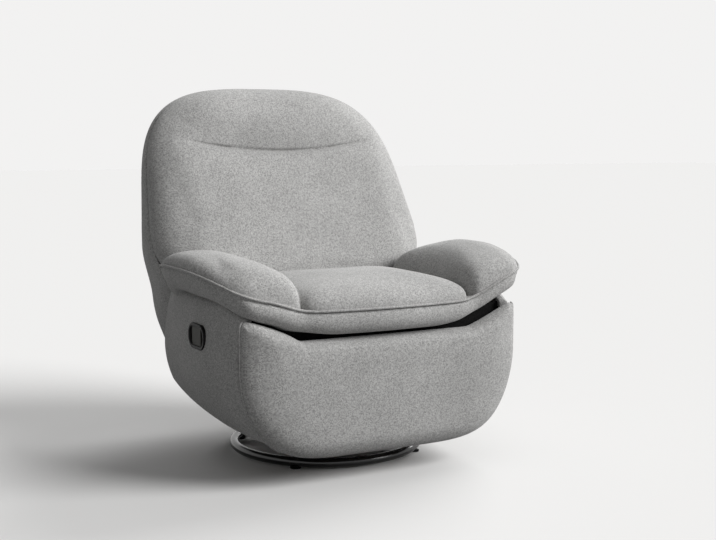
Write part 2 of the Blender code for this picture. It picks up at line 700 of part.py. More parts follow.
def leg_rest():
    drive_x = MECH_X + PLATE_T + 0.0012
    support_x = drive_x + LINK_STEP
    bracket_x = support_x + LINK_STEP
    rod("drive_tube", DRIVE_R, drive_x + LINK_T + 0.001, PIN_DRIVE, DRIVE, "black_metal")
    rod("elbow_rod", ROD_R, support_x + LINK_T + 0.001, PIN_ELBOW, DRIVE, "steel")
    rod("cross_rod", ROD_R, bracket_x + LINK_T + 0.001, PIN_TILT, TILT, "steel")
    board_rear = PAD_BACK_Y + GAP + BOARD_T
    rear = board_rear + GAP
    y, z = PIN_TILT
    bracket = [(rear, z + 0.050), (rear, z - 0.070), (rear + 0.014, z - 0.070),
               (y + 0.017, z - 0.013), (y + 0.017, z + 0.013), (rear + 0.014, z + 0.050)]
    small = circle(PIN_ELBOW, ROD_R + GAP)
    tilt_hole = circle(PIN_TILT, ROD_R + GAP)
    for side_name, side in SIDES:
        plate(f"drive_link_{side_name}", link_outline(PIN_DRIVE, PIN_ELBOW),
              [circle(PIN_DRIVE, DRIVE_R + GAP), small], drive_x, LINK_T, side, DRIVE, "steel")
        plate(f"support_link_{side_name}", link_outline(PIN_ELBOW, PIN_TILT),
              [small, tilt_hole], support_x, LINK_T, side, FOLD, "steel")
        plate(f"footrest_bracket_{side_name}", bracket, [tilt_hole], bracket_x, LINK_T, side,
              TILT, "steel")

    low = PAD_BOTTOM_Z + 0.040
    half = BOARD_HALF_W
    board = rounded([(-half, PAD_TOP_Z - 0.012), (-half, low + 0.080), (-half + 0.080, low),
                     (half - 0.080, low), (half, low + 0.080), (half, PAD_TOP_Z - 0.012)], 0.030)
    panel = add("footrest_board", outline_curve("footrest_board", board, (), BOARD_T), TILT,
                "wood")
    panel.rotation_euler = TO_XZ
    panel.location = (0.0, PAD_BACK_Y + GAP + BOARD_T / 2, 0.0)

    bm = cube_strips((13, 3, 9), 0.0)
    for vert in bm.verts:
        u, v, w = vert.co
        a, depth, b = pillow(u, v, w, 9.0, 3.4, 0.7)
        share = (b + 1) / 2
        x = a * pad_half_w(PAD_BOTTOM_Z + share * (PAD_HORN_Z - PAD_BOTTOM_Z))
        z = PAD_BOTTOM_Z + share * (pad_top_z(x) - PAD_BOTTOM_Z)
        bow = 0.012 * (1 - (x / PAD_HALF_W) ** 2)
        vert.co = (x, PAD_BACK_Y - depth * (PAD_T - 0.012 + bow), z)
    add("footrest_pad", mesh_from(bm, "footrest_pad", True), TILT, "fabric")


# Back: cushion in front of the side seam, cover behind it, and the wooden frame between
def seam_y(z):
    return SEAM_Y + SEAM_LEAN * (z - SEAM_Z)


def back_half_w(z):
    if z > 0.600:
        return BACK_HALF_W - 0.12 * (z - 0.600)
    low = BACK_LOW_HALF_W - 0.90 * max(0.0, 0.450 - z) ** 2
    return low + (BACK_HALF_W - low) * ease((z - 0.440) / 0.110)


def back_front_y(z):
    return seam_y(z) - BACK_PADDING - 0.10 * (SEAM_Z - z)


def back_rear_y(z):
    return BACK_REAR_Y - 0.13 * max(0.0, (0.950 - z) / 0.750) ** 1.7


def head_seam_z(x):
    return HEAD_SEAM_Z + 0.030 * (x / HEAD_SEAM_HALF_W) ** 2


def back_outline(u, v, w, bottom, edge, foot=6.0):
    a, depth, b = pillow(u, v, w, 3.3 if w > 0 else foot, edge)
    z = BACK_MID_Z + b * ((BACK_TOP_Z - BACK_MID_Z) if b > 0 else (BACK_MID_Z - bottom))
    return a * back_half_w(z), depth, z


def back():
    cuts = (11, 2, 15)
    row = 0.25
    bm = cube_strips(cuts, 0.0)
    for vert in bm.verts:
        u, v, w = vert.co
        x, depth, z = back_outline(u, v, w, BACK_CUSHION_Z, 3.2)
        groove = 0.0
        if v > 0.99:
            row_x, _, row_z = back_outline(u, v, row, BACK_CUSHION_Z, 3.2)
            close = max(0.0, 1 - abs(w - row) / 0.55)
            fade = 1 - abs(u) ** 6
            z += (head_seam_z(row_x) - row_z) * close * fade
            x = min(max(x, -back_half_w(z)), back_half_w(z))
            if abs(w - row) < 1e-6:
                groove = 0.012 * max(0.0, 1 - (row_x / HEAD_SEAM_HALF_W) ** 4)
        front = seam_y(z) - back_front_y(z)
        vert.co = (x, seam_y(z) - depth * front + groove, z)
    add("back_cushion", mesh_from(bm, "back_cushion", True), BACK, "fabric")

    bm = cube_strips(cuts, 0.0)
    flat = [face for face in bm.faces if all(abs(vert.co.y) < 1e-9 for vert in face.verts)]
    bmesh.ops.delete(bm, geom=flat, context="FACES")
    for vert in bm.verts:
        square = 2.9 + 2.5 * ease((-vert.co.z - 0.30) / 0.25)
        x, depth, z = back_outline(*vert.co, BACK_COVER_Z, square, 9.0)
        hood = ease((BACK_CUSHION_Z + 0.020 - z) / 0.040)
        start = (seam_y(z) - 0.015) * (1 - hood) + BACK_HOOD_Y * hood
        start += 1.3 * max(0.0, BACK_COVER_Z + 0.100 - z)
        y = start + depth * (back_rear_y(z) - start)
        tuck = hood * max(0.0, (BACK_HOOD_Y + 0.120 - y) / 0.120) ** 2
        vert.co = (x * (1 - 0.06 * tuck), y, z)
    cover = add("back_cover", mesh_from(bm, "back_cover", True), BACK, "fabric")
    thick = cover.modifiers.new("padding", "SOLIDIFY")
    thick.thickness = COVER_T
    thick.offset = -1.0
    lean = -math.atan(SEAM_LEAN)
    bm = bmesh.new()
    foot = BACK_CUSHION_Z - 0.002
    in_front = (Matrix.Translation((0.0, seam_y(foot) + GAP, foot))
                @ Matrix.Rotation(lean, 4, "X") @ Matrix.Translation((0.0, -0.15, 0.50)))
    bmesh.ops.create_cube(bm, size=1.0, matrix=in_front @ Matrix.Diagonal((1.2, 0.3, 1.0, 1.0)))
    cut(cover, mesh_from(bm, "seam_plane"))

    low = BACK_CUSHION_Z + 0.010
    high = 0.840
    away = (POST_T / 2 + GAP) / math.cos(lean)
    outer = MECH_X + PLATE_T + 0.0012 - GAP
    length = (high - low) / math.cos(lean)
    mid = (low + high) / 2
    span = outer - POST_W - GAP
    for side_name, side in SIDES:
        bar(f"back_post_{side_name}", (POST_W, POST_T, length),
            (side * (outer - POST_W / 2), seam_y(mid) + away, mid), BACK, "wood", lean)
    for end_name, z in (("top", high - 0.030), ("bottom", low + 0.040)):
        bar(f"back_rail_{end_name}", (2 * span, POST_T, 0.045), (0.0, seam_y(z) + away, z), BACK,
            "wood", lean)

    y, z = PIN_RECLINE
    tip = low + 0.080
    bracket = [(y - 0.018, z + 0.018), (y - 0.018, z - 0.018), (y + 0.022, z - 0.024),
               (seam_y(tip) + POST_T, tip - 0.010), (seam_y(tip) + 0.006, tip),
               (seam_y(low) + 0.006, low)]
    for side_name, side in SIDES:
        plate(f"back_bracket_{side_name}", bracket, [circle(PIN_RECLINE, RECLINE_R + GAP)],
              outer + GAP, PLATE_T, side, BACK, "steel")


rocker(base())
seat_frame()
soft_seat()
side_panels()
latch()
leg_rest()
back()
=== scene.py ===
import json
import math

import bmesh
import bpy
import numpy as np
from mathutils import Matrix, Vector


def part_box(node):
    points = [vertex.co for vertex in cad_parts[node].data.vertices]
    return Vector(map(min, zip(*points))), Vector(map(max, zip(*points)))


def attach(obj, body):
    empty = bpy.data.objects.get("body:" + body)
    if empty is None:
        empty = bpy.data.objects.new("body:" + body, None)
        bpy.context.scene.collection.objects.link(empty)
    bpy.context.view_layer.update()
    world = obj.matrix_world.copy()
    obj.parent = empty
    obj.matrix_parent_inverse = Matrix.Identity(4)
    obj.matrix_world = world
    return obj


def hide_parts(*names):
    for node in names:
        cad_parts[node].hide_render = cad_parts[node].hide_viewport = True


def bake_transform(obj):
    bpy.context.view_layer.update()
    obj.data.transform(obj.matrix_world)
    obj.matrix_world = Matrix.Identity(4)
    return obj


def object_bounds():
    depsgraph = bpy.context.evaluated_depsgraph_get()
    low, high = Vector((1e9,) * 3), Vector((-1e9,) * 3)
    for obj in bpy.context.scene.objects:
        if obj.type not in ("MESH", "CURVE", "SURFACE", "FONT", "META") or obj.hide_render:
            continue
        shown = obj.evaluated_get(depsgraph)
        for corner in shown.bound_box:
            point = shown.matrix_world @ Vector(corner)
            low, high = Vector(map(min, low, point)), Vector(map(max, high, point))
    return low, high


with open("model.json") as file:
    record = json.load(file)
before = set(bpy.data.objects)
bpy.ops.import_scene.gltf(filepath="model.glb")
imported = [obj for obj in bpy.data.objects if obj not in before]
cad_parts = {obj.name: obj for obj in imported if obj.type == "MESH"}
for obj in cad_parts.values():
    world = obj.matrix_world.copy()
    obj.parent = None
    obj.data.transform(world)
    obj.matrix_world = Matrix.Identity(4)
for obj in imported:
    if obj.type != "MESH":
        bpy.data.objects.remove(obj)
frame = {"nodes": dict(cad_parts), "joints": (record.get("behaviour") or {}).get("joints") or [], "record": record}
cad_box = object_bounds()

# Studio: a plain pale floor, one large soft lamp from the sitter's left front, a weaker one from
# behind it and an even sky. The camera stands where the photograph was taken from, low and to the
# sitter's right. Distances in this file are from the swivel axis unless they are said to be world.
SWIVEL_Y = frame["joints"][0]["pos_m"][1]
CAMERA_PLACE = (-1.5037, -2.9433, 0.8542)
CAMERA_YAW = 0.49994
CAMERA_PITCH = 0.10885
CAMERA_LENS = 60.34
FLOOR_COLOUR = (0.757, 0.753, 0.746, 1.0)
FLOOR_BOUNCE = (0.22, 0.22, 0.22, 1.0)
SKY_COLOUR = (0.89, 0.885, 0.88, 1.0)
SKY_LIGHT = 0.253

camera = bpy.data.cameras.new("camera")
camera.lens = CAMERA_LENS
camera.sensor_width = 36.0
camera_object = bpy.data.objects.new("camera", camera)
camera_object.location = (CAMERA_PLACE[0], CAMERA_PLACE[1] + SWIVEL_Y, CAMERA_PLACE[2])
camera_object.rotation_euler = (math.pi / 2 - CAMERA_PITCH, 0.0, -CAMERA_YAW)
bpy.context.scene.collection.objects.link(camera_object)
bpy.context.scene.camera = camera_object
bpy.context.scene.view_settings.view_transform = "Standard"


def new_material(name):
    """An empty node material and its Principled shader."""
    made = bpy.data.materials.new(name)
    made.use_nodes = True
    return made, made.node_tree.nodes, made.node_tree.links, made.node_tree.nodes["Principled BSDF"]


def seen_directly(nodes, links):
    """1 on rays from the camera, a shine or a clear body, and 0 on rays that carry light."""
    ray = nodes.new("ShaderNodeLightPath")
    seen = ray.outputs["Is Camera Ray"]
    for kind in ("Is Glossy Ray", "Is Transmission Ray"):
        either = nodes.new("ShaderNodeMath")
        either.operation = "MAXIMUM"
        links.new(seen, either.inputs[0])
        links.new(ray.outputs[kind], either.inputs[1])
        seen = either.outputs[0]
    return seen


bpy.ops.mesh.primitive_plane_add(size=60.0, location=(0.0, 0.0, -0.0005))
floor = bpy.context.object
floor.name = "floor"
floor_paint, nodes, links, shader = new_material("floor_paint")
pale = nodes.new("ShaderNodeMix")
pale.data_type = "RGBA"
pale.inputs["A"].default_value = FLOOR_BOUNCE
pale.inputs["B"].default_value = FLOOR_COLOUR
links.new(seen_directly(nodes, links), pale.inputs["Factor"])
links.new(pale.outputs["Result"], shader.inputs["Base Color"])
shader.inputs["Roughness"].default_value = 1.0
shader.inputs["Specular IOR Level"].default_value = 0.0
floor.data.materials.append(floor_paint)

sky = bpy.data.worlds.new("sky")
sky.use_nodes = True
bpy.context.scene.world = sky
nodes, links = sky.node_tree.nodes, sky.node_tree.links
seen = nodes["Background"]
seen.inputs["Color"].default_value = SKY_COLOUR
even = nodes.new("ShaderNodeBackground")
even.inputs["Color"].default_value = (1.0, 1.0, 1.0, 1.0)
even.inputs["Strength"].default_value = SKY_LIGHT
pick = nodes.new("ShaderNodeMixShader")
links.new(seen_directly(nodes, links), pick.inputs[0])
links.new(even.outputs[0], pick.inputs[1])
links.new(seen.outputs[0], pick.inputs[2])
links.new(pick.outputs[0], nodes["World Output"].inputs["Surface"])

for lamp_name, towards, strength, spread in (("key", (0.63, -0.57, 0.53), 3.25, 35.0),
                                             ("rim", (0.75, 0.40, 0.53), 2.1, 40.0)):
    lamp = bpy.data.lights.new(lamp_name, "SUN")
    lamp.energy = strength
    lamp.angle = math.radians(spread)
    lamp_object = bpy.data.objects.new(lamp_name, lamp)
    lamp_object.location = Vector(towards) * 4.0
    lamp_object.rotation_euler = Vector(towards).to_track_quat("Z", "Y").to_euler()
    bpy.context.scene.collection.objects.link(lamp_object)


# Frame metal and wood: pressed steel plates and links in satin black paint, zinc-plated shafts,
# rods and springs, and rails, posts and boards of pale plywood. Their shapes come from the frame
# and stay; each gets a finish with the unevenness of the real stock.
NOISE_LOW = 0.35
NOISE_HIGH = 0.65


def speckle(nodes, links, scale, detail, low=0.0, high=1.0):
    """Object-space noise, spread so that nearly all of it runs from low to high."""
    place = nodes.new("ShaderNodeTexCoord")
    grain = nodes.new("ShaderNodeTexNoise")
    grain.inputs["Scale"].default_value = scale
    grain.inputs["Detail"].default_value = detail
    links.new(place.outputs["Object"], grain.inputs["Vector"])
    level = nodes.new("ShaderNodeMapRange")
    level.inputs["From Min"].default_value = NOISE_LOW
    level.inputs["From Max"].default_value = NOISE_HIGH
    level.inputs["To Min"].default_value = low
    level.inputs["To Max"].default_value = high
    links.new(grain.outputs["Fac"], level.inputs["Value"])
    return level.outputs["Result"]


def bumped(nodes, links, shader, height, strength, depth):
    bump = nodes.new("ShaderNodeBump")
    bump.inputs["Strength"].default_value = strength
    bump.inputs["Distance"].default_value = depth
    links.new(height, bump.inputs["Height"])
    links.new(bump.outputs["Normal"], shader.inputs["Normal"])


def ramped(nodes, links, value, stops):
    ramp = nodes.new("ShaderNodeValToRGB")
    elements = ramp.color_ramp.elements
    while len(elements) < len(stops):
        elements.new(0.5)
    for element, (place, colour) in zip(elements, stops):
        element.position = place
        element.color = (*colour, 1.0)
    links.new(value, ramp.inputs["Fac"])
    return ramp.outputs["Color"]


def mottled(nodes, links, shader, scale, detail, dark, light):
    """Let a shader's colour drift between two tones; the drift is returned, for a bump."""
    drift = speckle(nodes, links, scale, detail)
    links.new(ramped(nodes, links, drift, ((0.0, dark), (1.0, light))), shader.inputs["Base Color"])
    return drift


def black_paint(name, rough, dust):
    paint, nodes, links, shader = new_material(name)
    mottled(nodes, links, shader, 14.0, 4.0, (0.010, 0.010, 0.011), dust)
    wear = speckle(nodes, links, 60.0, 2.0, rough - 0.06, rough + 0.08)
    links.new(wear, shader.inputs["Roughness"])
    bumped(nodes, links, shader, speckle(nodes, links, 420.0, 1.0), 0.06, 0.0004)
    return paint


def zinc_plate(name):
    zinc, nodes, links, shader = new_material(name)
    mottled(nodes, links, shader, 26.0, 3.0, (0.40, 0.41, 0.43), (0.58, 0.58, 0.57))
    shader.inputs["Metallic"].default_value = 1.0
    rub = speckle(nodes, links, 120.0, 3.0, 0.28, 0.48)
    links.new(rub, shader.inputs["Roughness"])
    return zinc


def pale_plywood(name):
    wood, nodes, links, shader = new_material(name)
    place = nodes.new("ShaderNodeTexCoord")
    stretch = nodes.new("ShaderNodeMapping")
    stretch.inputs["Scale"].default_value = (3.0, 40.0, 40.0)
    links.new(place.outputs["Object"], stretch.inputs["Vector"])
    grain = nodes.new("ShaderNodeTexNoise")
    grain.inputs["Scale"].default_value = 2.2
    grain.inputs["Detail"].default_value = 6.0
    links.new(stretch.outputs["Vector"], grain.inputs["Vector"])
    links.new(ramped(nodes, links, grain.outputs["Fac"],
                     ((0.30, (0.30, 0.19, 0.095)), (0.55, (0.50, 0.34, 0.19)),
                      (0.75, (0.60, 0.44, 0.27)))), shader.inputs["Base Color"])
    shader.inputs["Roughness"].default_value = 0.62
    bumped(nodes, links, shader, grain.outputs["Fac"], 0.15, 0.0008)
    return wood


def moulded_plastic(name):
    plastic, nodes, links, shader = new_material(name)
    mottled(nodes, links, shader, 30.0, 3.0, (0.006, 0.006, 0.006), (0.010, 0.010, 0.010))
    shader.inputs["Roughness"].default_value = 0.40
    shader.inputs["Specular IOR Level"].default_value = 0.08
    bumped(nodes, links, shader, speckle(nodes, links, 900.0, 1.0), 0.12, 0.0003)
    return plastic


satin_black = black_paint("satin_black", 0.42, (0.022, 0.022, 0.023))
zinc = zinc_plate("zinc_plate")
plywood = pale_plywood("pale_plywood")
moulded_black = moulded_plastic("moulded_black")

FINISH_OF_SLOT = {"black_metal": satin_black, "ring_paint": satin_black, "bare_steel": zinc,
                  "wood_frame": plywood, "black_plastic": moulded_black, "upholstery": satin_black}
for part in frame["record"]["subparts"]:
    node = frame["nodes"][part["node"]]
    if not node.data.materials:
        node.data.materials.append(None)
    for place in node.material_slots:
        place.material = FINISH_OF_SLOT[part["material_slot"]]


# Floor ring: one round steel tube rolled into a hoop and butt welded, in gloss black paint that
# shows the room in its shine. The weld is at the back, and the tube is slightly raised there.
RING_OUTSIDE_R = 0.268
RING_TUBE_R = 0.0125
RING_Z = 0.0168
WELD_HALF_ANGLE = 0.012
WELD_RAISE = 0.045

middle_r = RING_OUTSIDE_R - RING_TUBE_R
bpy.ops.mesh.primitive_torus_add(major_radius=middle_r, minor_radius=RING_TUBE_R, major_segments=192,
                                 minor_segments=28, location=(0.0, SWIVEL_Y, RING_Z))
floor_ring = bpy.context.object
floor_ring.name = "floor_ring"
bpy.ops.object.transform_apply(location=True, rotation=True, scale=True)
for vert in floor_ring.data.vertices:
    x, y, z = vert.co.x, vert.co.y - SWIVEL_Y, vert.co.z - RING_Z
    away = abs(math.atan2(x, y)) / WELD_HALF_ANGLE
    swell = 1.0 + WELD_RAISE * math.exp(-away ** 2)
    reach = math.hypot(x, y)
    grown = middle_r + (reach - middle_r) * swell
    vert.co = (x * grown / reach, y * grown / reach + SWIVEL_Y, RING_Z + z * swell)
bpy.ops.object.shade_smooth()
floor_ring.data.materials.append(black_paint("gloss_black", 0.16, (0.016, 0.016, 0.017)))
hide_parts("base_ring")
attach(floor_ring, "base")


# Seat top: a foam cushion crowned in the middle and sewn into the welt along its front edge. It
# lies on the zigzag springs between the arms. The heathered cloth of the whole chair is woven
# from light and dark grey yarn, so each crossing of the threads has its own tone.
SEAT_HALF_W = 0.2385
SEAT_FRONT_Y = -0.383
SEAT_REAR_Y = 0.082
SEAT_FRONT_BOW = 0.024
SEAT_CROWN = 0.066
SEAT_LEAN = 0.012
SEAT_CORNER = 12.0
SEAT_SECTION = 2.3
SEAT_SIDE_SQUARER = 0.9
TOP_UNDER = 0.030
TOP_UNDER_SQUARE = 4.5
WELT_Z = 0.436
WELT_CLIMB = 1.25
WELT_LEVEL_X = 0.200
WELT_HUMP = 0.009
WELT_HUMP_X = 0.315
WELT_HUMP_REACH = 0.055
WELT_TIP = 0.004
WELT_TIP_X = 0.400
WELT_TIP_REACH = 0.060
WELT_RISE = 0.020
WELT_RISE_X = 0.380
WELT_RISE_INSIDE = 0.085
WELT_RISE_OUTSIDE = 0.050
SWELL = 0.010
FILL_PRESSURE = 4.0
FILL_STEPS = 20
FILL_EVENING = 14
COVER_STIFFNESS = 15.0
THREAD = 0.0024
DARK_YARN = (0.245, 0.243, 0.239)
MID_YARN = (0.404, 0.401, 0.394)
LIGHT_YARN = (0.570, 0.566, 0.556)


def ease(value):
    value = min(max(value, 0.0), 1.0)
    return value * value * (3.0 - 2.0 * value)


def welt_rise(x):
    """How much higher the welt is drawn up across the front of the sitter's left arm."""
    if x < 0.0:
        return 0.0
    reach = WELT_RISE_INSIDE if x < WELT_RISE_X else WELT_RISE_OUTSIDE
    return WELT_RISE * math.exp(-((x - WELT_RISE_X) / reach) ** 2)


def welt_z(x):
    """The welt's height across the chair, x from the middle to the sitter's left."""
    climb = WELT_CLIMB * max(0.0, abs(x) - WELT_LEVEL_X) ** 2
    hump = WELT_HUMP * math.exp(-((abs(x) - WELT_HUMP_X) / WELT_HUMP_REACH) ** 2)
    tip = WELT_TIP * ease((abs(x) - WELT_TIP_X) / WELT_TIP_REACH)
    return WELT_Z + climb + hump + tip + welt_rise(x)


def pick_edges(block, axis):
    """Open a block for editing, with the edges that run along an axis selected."""
    bpy.ops.object.mode_set(mode="EDIT")
    bpy.ops.mesh.select_mode(type="EDGE")
    bpy.ops.mesh.select_all(action="DESELECT")
    bm = bmesh.from_edit_mesh(block.data)
    for edge in bm.edges:
        run = edge.verts[1].co - edge.verts[0].co
        edge.select_set(abs(run[axis]) > 0.99 * run.length)
    bmesh.update_edit_mesh(block.data)


def cut_block(name, cuts, low=-1.0):
    """A block of two units whose faces are cut into strips; low moves its lower y face."""
    bpy.ops.mesh.primitive_cube_add(size=2.0)
    block = bpy.context.object
    block.name = name
    for axis, count in enumerate(cuts):
        pick_edges(block, axis)
        bpy.ops.mesh.subdivide(number_cuts=count)
    bpy.ops.object.mode_set(mode="OBJECT")
    for vert in block.data.vertices:
        vert.co.y = low + (vert.co.y + 1.0) * (1.0 - low) / 2.0
    return block


def pillow(u, v, w, corner, edge, share=0.62):
    """Where a block's point goes on a pillow: across and along its outline, and its depth.

    corner is the outline's roundness and edge that of its section (2 is round, more is squarer);
    v is 1 or -1 on the two faces and 0 at the seam between them.
    """
    reach = max(abs(u), abs(w))
    if reach < 1e-9:
        return 0.0, v, 0.0
    norm = (abs(u) ** corner + abs(w) ** corner) ** (1.0 / corner)
    if abs(v) < 1e-6:
        radius, depth = reach, 0.0
    else:
        part = reach * share if abs(v) > 1.0 - 1e-6 else share + (1.0 - abs(v)) * (1.0 - share)
        angle = part * math.pi / 2.0
        radius = math.sin(angle) ** (2.0 / edge)
        depth = math.copysign(max(math.cos(angle), 0.0) ** (2.0 / edge), v)
    return u / norm * radius, depth, w / norm * radius


def rolled(a, b, v, corner, side, top, bottom, square=2.0):
    """Depth of a flat-faced pad at a point of its outline, which rolls over within a share of the
    way in from its side, top or bottom edge. The roll is round at square 2, flatter below it."""
    if abs(v) < 1e-6:
        return 0.0
    reach = (abs(a) ** corner + abs(b) ** corner) ** (1.0 / corner)
    lean = abs(a) ** 6 / (abs(a) ** 6 + abs(b) ** 6 + 1e-12)
    width = side * lean + (top if b > 0.0 else bottom) * (1.0 - lean)
    past = max(0.0, (reach - 1.0 + width) / width)
    return max(0.0, 1.0 - past ** square) ** (1.0 / square)


def shaped(block, where):
    """Move each point of a block to where(u, v, w), turn the faces out, and note the seam points."""
    seam = [vert.index for vert in block.data.vertices if abs(vert.co.y) < 1e-6]
    for vert in block.data.vertices:
        x, y, z = where(*vert.co)
        vert.co = (x, y + SWIVEL_Y, z)
    bm = bmesh.new()
    bm.from_mesh(block.data)
    bmesh.ops.recalc_face_normals(bm, faces=bm.faces)
    if bm.calc_volume(signed=True) < 0.0:
        bmesh.ops.reverse_faces(bm, faces=bm.faces)
    bm.to_mesh(block.data)
    bm.free()
    return seam


def vectors(items, field):
    """A field of three numbers, such as a place, as an array with a row for each item."""
    flat = np.empty(len(items) * 3)
    items.foreach_get(field, flat)
    return flat.reshape(-1, 3)


def plumped(piece, held, cap):
    """Fill a sewn cover: its seams are held, and the rest swells outwards by no more than cap.

    The swelling is then evened out, as wadding under the cloth does.
    """
    group = piece.vertex_groups.new(name="seams")
    group.add(held, 1.0, "REPLACE")
    cloth = piece.modifiers.new("cover", "CLOTH")
    settings = cloth.settings
    settings.quality = 5
    settings.mass = 0.3
    settings.tension_stiffness = COVER_STIFFNESS
    settings.compression_stiffness = COVER_STIFFNESS
    settings.shear_stiffness = COVER_STIFFNESS
    settings.bending_stiffness = 6.0
    settings.air_damping = 1.0
    settings.use_pressure = True
    settings.uniform_pressure_force = FILL_PRESSURE
    settings.vertex_group_mass = "seams"
    settings.effector_weights.gravity = 0.0
    cloth.collision_settings.use_collision = False
    start = vectors(piece.data.vertices, "co")
    normal = vectors(piece.data.vertices, "normal")
    for step in range(FILL_STEPS):
        bpy.context.scene.frame_set(step + 1)
    filled = piece.evaluated_get(bpy.context.evaluated_depsgraph_get()).to_mesh()
    out = ((vectors(filled.vertices, "co") - start) * normal).sum(1)
    out = np.tanh(np.maximum(out, 0.0) / cap) * cap
    ends = np.empty(len(piece.data.edges) * 2, np.int32)
    piece.data.edges.foreach_get("vertices", ends)
    one, two = ends.reshape(-1, 2).T
    around = np.bincount(ends, minlength=len(out))
    for _ in range(FILL_EVENING):
        total = np.bincount(one, out[two], len(out)) + np.bincount(two, out[one], len(out))
        out = 0.4 * out + 0.6 * total / around
        out[held] = 0.0
    move = normal * out[:, None]
    piece.modifiers.remove(cloth)
    piece.vertex_groups.remove(group)
    bpy.context.scene.frame_set(1)
    piece.data.vertices.foreach_set("co", (start + move).ravel())
    piece.data.update()


def chosen(piece):
    """Select one piece alone, for the operators that work on what is selected."""
    bpy.ops.object.select_all(action="DESELECT")
    piece.select_set(True)
    bpy.context.view_layer.objects.active = piece


def applied(piece, modifier):
    """Make what a modifier does part of a piece's own mesh."""
    chosen(piece)
    bpy.ops.object.modifier_apply(modifier=modifier.name)


def refined(piece):
    finer = piece.modifiers.new("finer", "SUBSURF")
    finer.levels = 1
    applied(piece, finer)
    bpy.ops.object.shade_smooth()


def lay_weave(piece):
    """Lay the threads on a piece: a map in metres, square on to the nearest axis."""
    mesh = piece.data
    layer = mesh.uv_layers.new(name="weave")
    points = vectors(mesh.vertices, "co")
    corners = np.empty(len(mesh.loops), np.int32)
    mesh.loops.foreach_get("vertex_index", corners)
    axis = np.abs(vectors(mesh.polygons, "normal")).argmax(1)
    counts = np.empty(len(mesh.polygons), np.int32)
    mesh.polygons.foreach_get("loop_total", counts)
    axis = np.repeat(axis, counts)
    across = np.where(axis == 0, 1, 0)
    along = np.where(axis == 2, 1, 2)
    flat = np.stack((points[corners, across], points[corners, along]), 1)
    layer.data.foreach_set("uv", flat.ravel())


def heather_cloth(name):
    cloth, nodes, links, shader = new_material(name)

    def maths(kind, *values):
        node = nodes.new("ShaderNodeMath")
        node.operation = kind
        for socket, value in zip(node.inputs, values):
            if isinstance(value, (int, float)):
                socket.default_value = value
            else:
                links.new(value, socket)
        return node.outputs[0]

    threads = nodes.new("ShaderNodeUVMap")
    threads.uv_map = "weave"
    split = nodes.new("ShaderNodeSeparateXYZ")
    links.new(threads.outputs["UV"], split.inputs[0])
    across = maths("DIVIDE", split.outputs["X"], THREAD)
    along = maths("DIVIDE", split.outputs["Y"], THREAD)
    warp_number, weft_number = maths("FLOOR", across), maths("FLOOR", along)
    warp_round = maths("SINE", maths("MULTIPLY", maths("FRACT", across), math.pi))
    weft_round = maths("SINE", maths("MULTIPLY", maths("FRACT", along), math.pi))
    weft_up = maths("FLOORED_MODULO", maths("ADD", warp_number, weft_number), 2.0)
    warp_up = maths("SUBTRACT", 1.0, weft_up)
    crest = maths("ADD",
                  maths("MULTIPLY", warp_up,
                        maths("MULTIPLY", warp_round,
                              maths("MULTIPLY_ADD", weft_round, 0.55, 0.5))),
                  maths("MULTIPLY", weft_up,
                        maths("MULTIPLY", weft_round,
                              maths("MULTIPLY_ADD", warp_round, 0.55, 0.5))))
    cell = nodes.new("ShaderNodeCombineXYZ")
    links.new(warp_number, cell.inputs["X"])
    links.new(weft_number, cell.inputs["Y"])
    yarn = nodes.new("ShaderNodeTexWhiteNoise")
    yarn.noise_dimensions = "2D"
    links.new(cell.outputs[0], yarn.inputs["Vector"])
    slub = nodes.new("ShaderNodeTexNoise")
    slub.noise_dimensions = "2D"
    slub.inputs["Scale"].default_value = 190.0
    slub.inputs["Detail"].default_value = 2.0
    links.new(threads.outputs["UV"], slub.inputs["Vector"])
    mixed = maths("ADD", maths("MULTIPLY", yarn.outputs["Value"], 0.55),
                  maths("MULTIPLY", slub.outputs["Fac"], 0.45))
    tone = ramped(nodes, links, mixed, ((0.10, DARK_YARN), (0.48, MID_YARN), (0.90, LIGHT_YARN)))
    patch = speckle(nodes, links, 7.0, 3.0, 0.93, 1.05)
    # Painted shade: the cloth's colour is darkened away from each thread's crest, in the hollows between the
    # threads where shade falls.
    painted_thread_shade = maths("MULTIPLY", patch, maths("MULTIPLY_ADD", crest, 0.45, 0.70))
    depth = nodes.new("ShaderNodeMix")
    depth.data_type = "RGBA"
    depth.blend_type = "MULTIPLY"
    depth.inputs["Factor"].default_value = 1.0
    links.new(tone, depth.inputs["A"])
    grey = nodes.new("ShaderNodeCombineColor")
    for channel in grey.inputs:
        links.new(painted_thread_shade, channel)
    links.new(grey.outputs[0], depth.inputs["B"])
    links.new(depth.outputs["Result"], shader.inputs["Base Color"])
    shader.inputs["Roughness"].default_value = 0.93
    shader.inputs["Specular IOR Level"].default_value = 0.18
    shader.inputs["Sheen Weight"].default_value = 0.22
    shader.inputs["Sheen Roughness"].default_value = 0.45
    bumped(nodes, links, shader, maths("ADD", crest, maths("MULTIPLY", slub.outputs["Fac"], 0.5)),
           0.45, 0.0007)
    return cloth


upholstery = heather_cloth("heather_cloth")


def upholstered(piece, body, fill, *nodes):
    """Cover a finished soft piece in the chair's cloth and set it on its body."""
    lay_weave(piece)
    piece.data.materials.clear()
    piece.data.materials.append(upholstery)
    if nodes:
        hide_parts(*nodes)
    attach(piece, body)


def seat_x(a):
    """The seat lies a little over to the sitter's left."""
    return a * SEAT_HALF_W + SEAT_LEAN * ease((a + 1.0) / 2.0)


